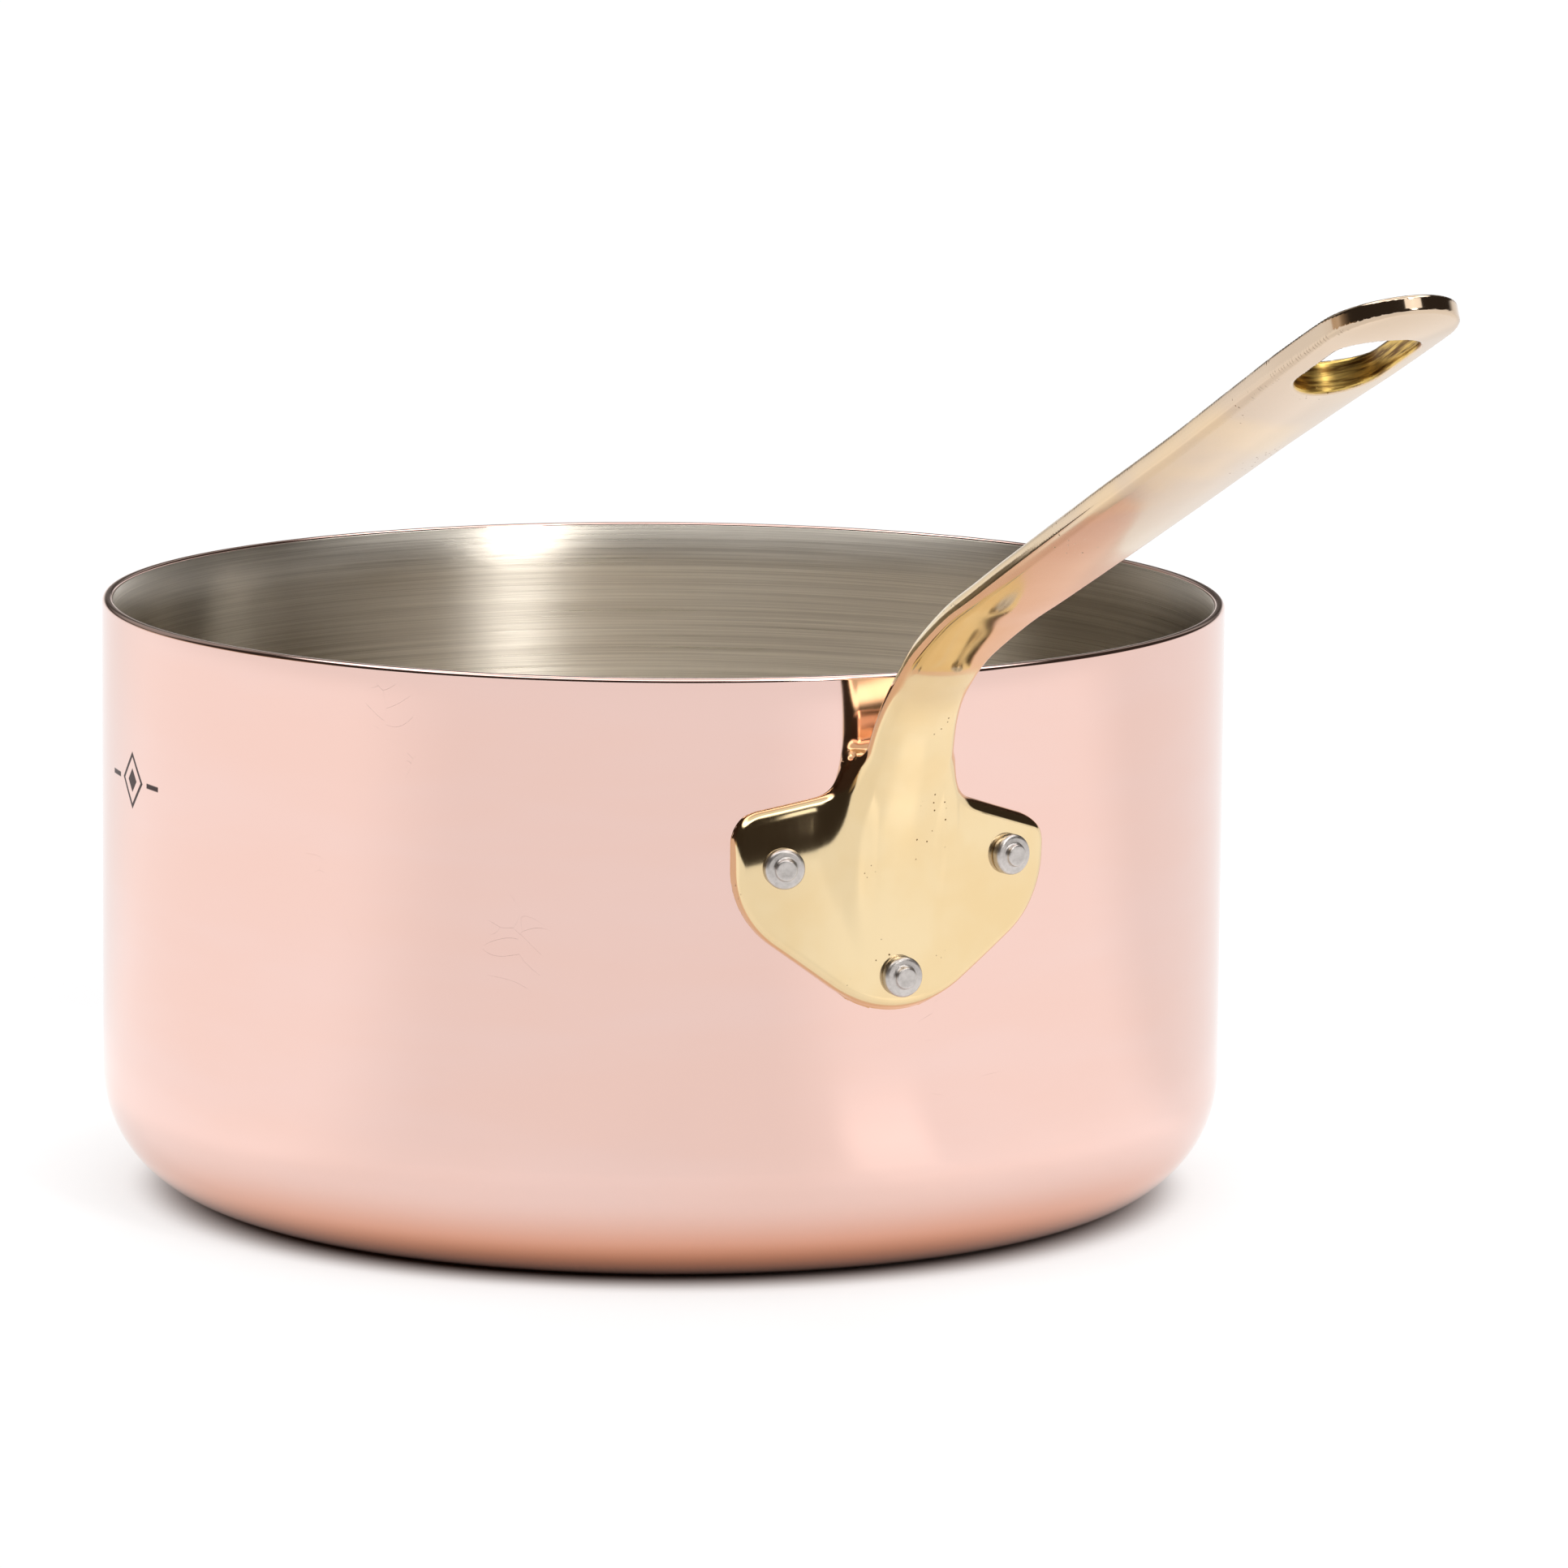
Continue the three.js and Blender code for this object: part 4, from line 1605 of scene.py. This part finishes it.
@dataclass(frozen=True)
class Dome:
    """Studio light: dim and warm low down, a bright ring overhead, a softer cap, and soft cards."""

    low_light: Colour = (0.036, 0.028, 0.022, 1.0)
    ring_light: Colour = (2.9, 2.9, 2.9, 1.0)
    cap_light: Colour = (0.95, 0.95, 0.95, 1.0)
    ring_from: float = 46.0
    cap_from: float = 60.0
    soft: float = 8.0
    cards: tuple[SoftCard, ...] = (
        SoftCard(98.0, 50.0, -4.0, 8.0, (1.0, 0.985, 0.97, 1.0), 1.0, 4.0),
        SoftCard(-163.0, 44.0, -9.0, 5.5, (1.0, 0.97, 0.93, 1.0), 1.0, 4.0),
        SoftCard(-125.0, 32.0, -12.0, 5.0, (1.0, 0.75, 0.50, 1.0), 0.65, 6.0),
        SoftCard(172.0, 40.0, 14.0, 44.0, (1.0, 0.96, 0.90, 1.0), 0.35, 6.0),
        SoftCard(10.8, 5.6, 13.0, 62.0, (1.0, 0.99, 0.97, 1.0), 7.5, 1.0),
        SoftCard(12.0, 20.0, 35.0, 43.0, (1.0, 0.99, 0.97, 1.0), 1.55, 1.5),
    )

    def build(self) -> None:
        """Paints the dome round the scene."""
        world = bpy.data.worlds.new("soft_studio")
        world.use_nodes = True
        bpy.context.scene.world = world
        graph = Graph(world.node_tree)
        x, y, z = graph.axes(graph.add("ShaderNodeTexCoord").outputs["Generated"])
        rise = graph.math("ARCSINE", z) * DEGREES
        azimuth = graph.math("ARCTAN2", y, x) * DEGREES
        ring = rise.ramp(self.ring_from, self.ring_from + self.soft)
        cap = rise.ramp(self.cap_from, self.cap_from + self.soft)
        colour = graph.mix_colour(ring, self.low_light, self.ring_light)
        colour = graph.mix_colour(cap, colour, self.cap_light)
        for card in self.cards:
            across = graph.facing(azimuth, card.azimuth, card.half_width, card.soft)
            window = across * rise.band(card.low, card.high, card.soft)
            colour = graph.mix_colour(window, colour, card.shine())
        background = graph.add("ShaderNodeBackground", None, {"Color": colour, "Strength": 1.0})
        graph.add("ShaderNodeOutputWorld", None, {"Surface": background.outputs[0]})


@dataclass(frozen=True)
class StudioCamera:
    """Where the pan is seen from: place in metres, angles in degrees, lens and sensor in millimetres."""

    place: tuple[float, float, float] = (1.54662, -0.65792, 0.34614)
    turn: float = 66.2
    tilt: float = 80.80
    roll: float = 0.511
    focal_length: float = 214.05
    sensor_width: float = 36.0
    clip_end: float = 100.0

    def build(self) -> None:
        """Sets the camera up, with whites kept white by a plain view."""
        data = bpy.data.cameras.new("Camera")
        data.lens = self.focal_length
        data.sensor_width = self.sensor_width
        data.clip_end = self.clip_end
        camera = bpy.data.objects.new("Camera", data)
        bpy.context.scene.collection.objects.link(camera)
        turn = Matrix.Rotation(math.radians(self.turn), 4, "Z")
        tilt = Matrix.Rotation(math.radians(self.tilt), 4, "X")
        roll = Matrix.Rotation(math.radians(self.roll), 4, "Z")
        camera.matrix_world = Matrix.Translation(self.place) @ turn @ tilt @ roll
        bpy.context.scene.camera = camera
        settings = bpy.context.scene.view_settings
        settings.view_transform = "Standard"
        settings.look = "None"
        settings.exposure = 0.0
        settings.gamma = 1.0


# ---------------------------------------------------------------- assembly


def main() -> None:
    """Builds the studio and the saucepan piece by piece."""
    logging.basicConfig(level=logging.INFO, format="%(name)s: %(message)s")
    StudioCamera().build()
    Dome().build()
    Floor().build()

    pan = PanBody(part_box("copper_body")[1])
    dress(pan.copper(), PolishedCopper().material(), Slot.COPPER, "copper_body")
    dress(pan.lining(), BrushedLining().material(), Slot.LINING, "steel_lining")

    brass = BrassHandle(wall_radius=pan.outer_radius)
    flange_radius = pan.outer_radius + brass.seat_gap + brass.flange_thickness
    metal = RivetMetal().material()
    holes = []
    for node, name in (
        ("rivet_upper_left", "RivetUpperLeft"),
        ("rivet_upper_right", "RivetUpperRight"),
        ("rivet_lower", "RivetLower"),
    ):
        low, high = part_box(node)
        middle = (low + high) / 2
        angle = math.atan2(middle.y, middle.x)
        holes.append((angle, middle.z / MM))
        rivet = Rivet(name, angle, middle.z / MM, flange_radius, pan.inner_radius)
        dress(rivet.build(), metal, Slot.RIVET, node)

    handle = brass.build(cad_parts["brass_handle"], holes)
    dress(handle, CastBrass().material(brass.eye()), Slot.BRASS, "brass_handle")


if __name__ == "__main__":
    main()
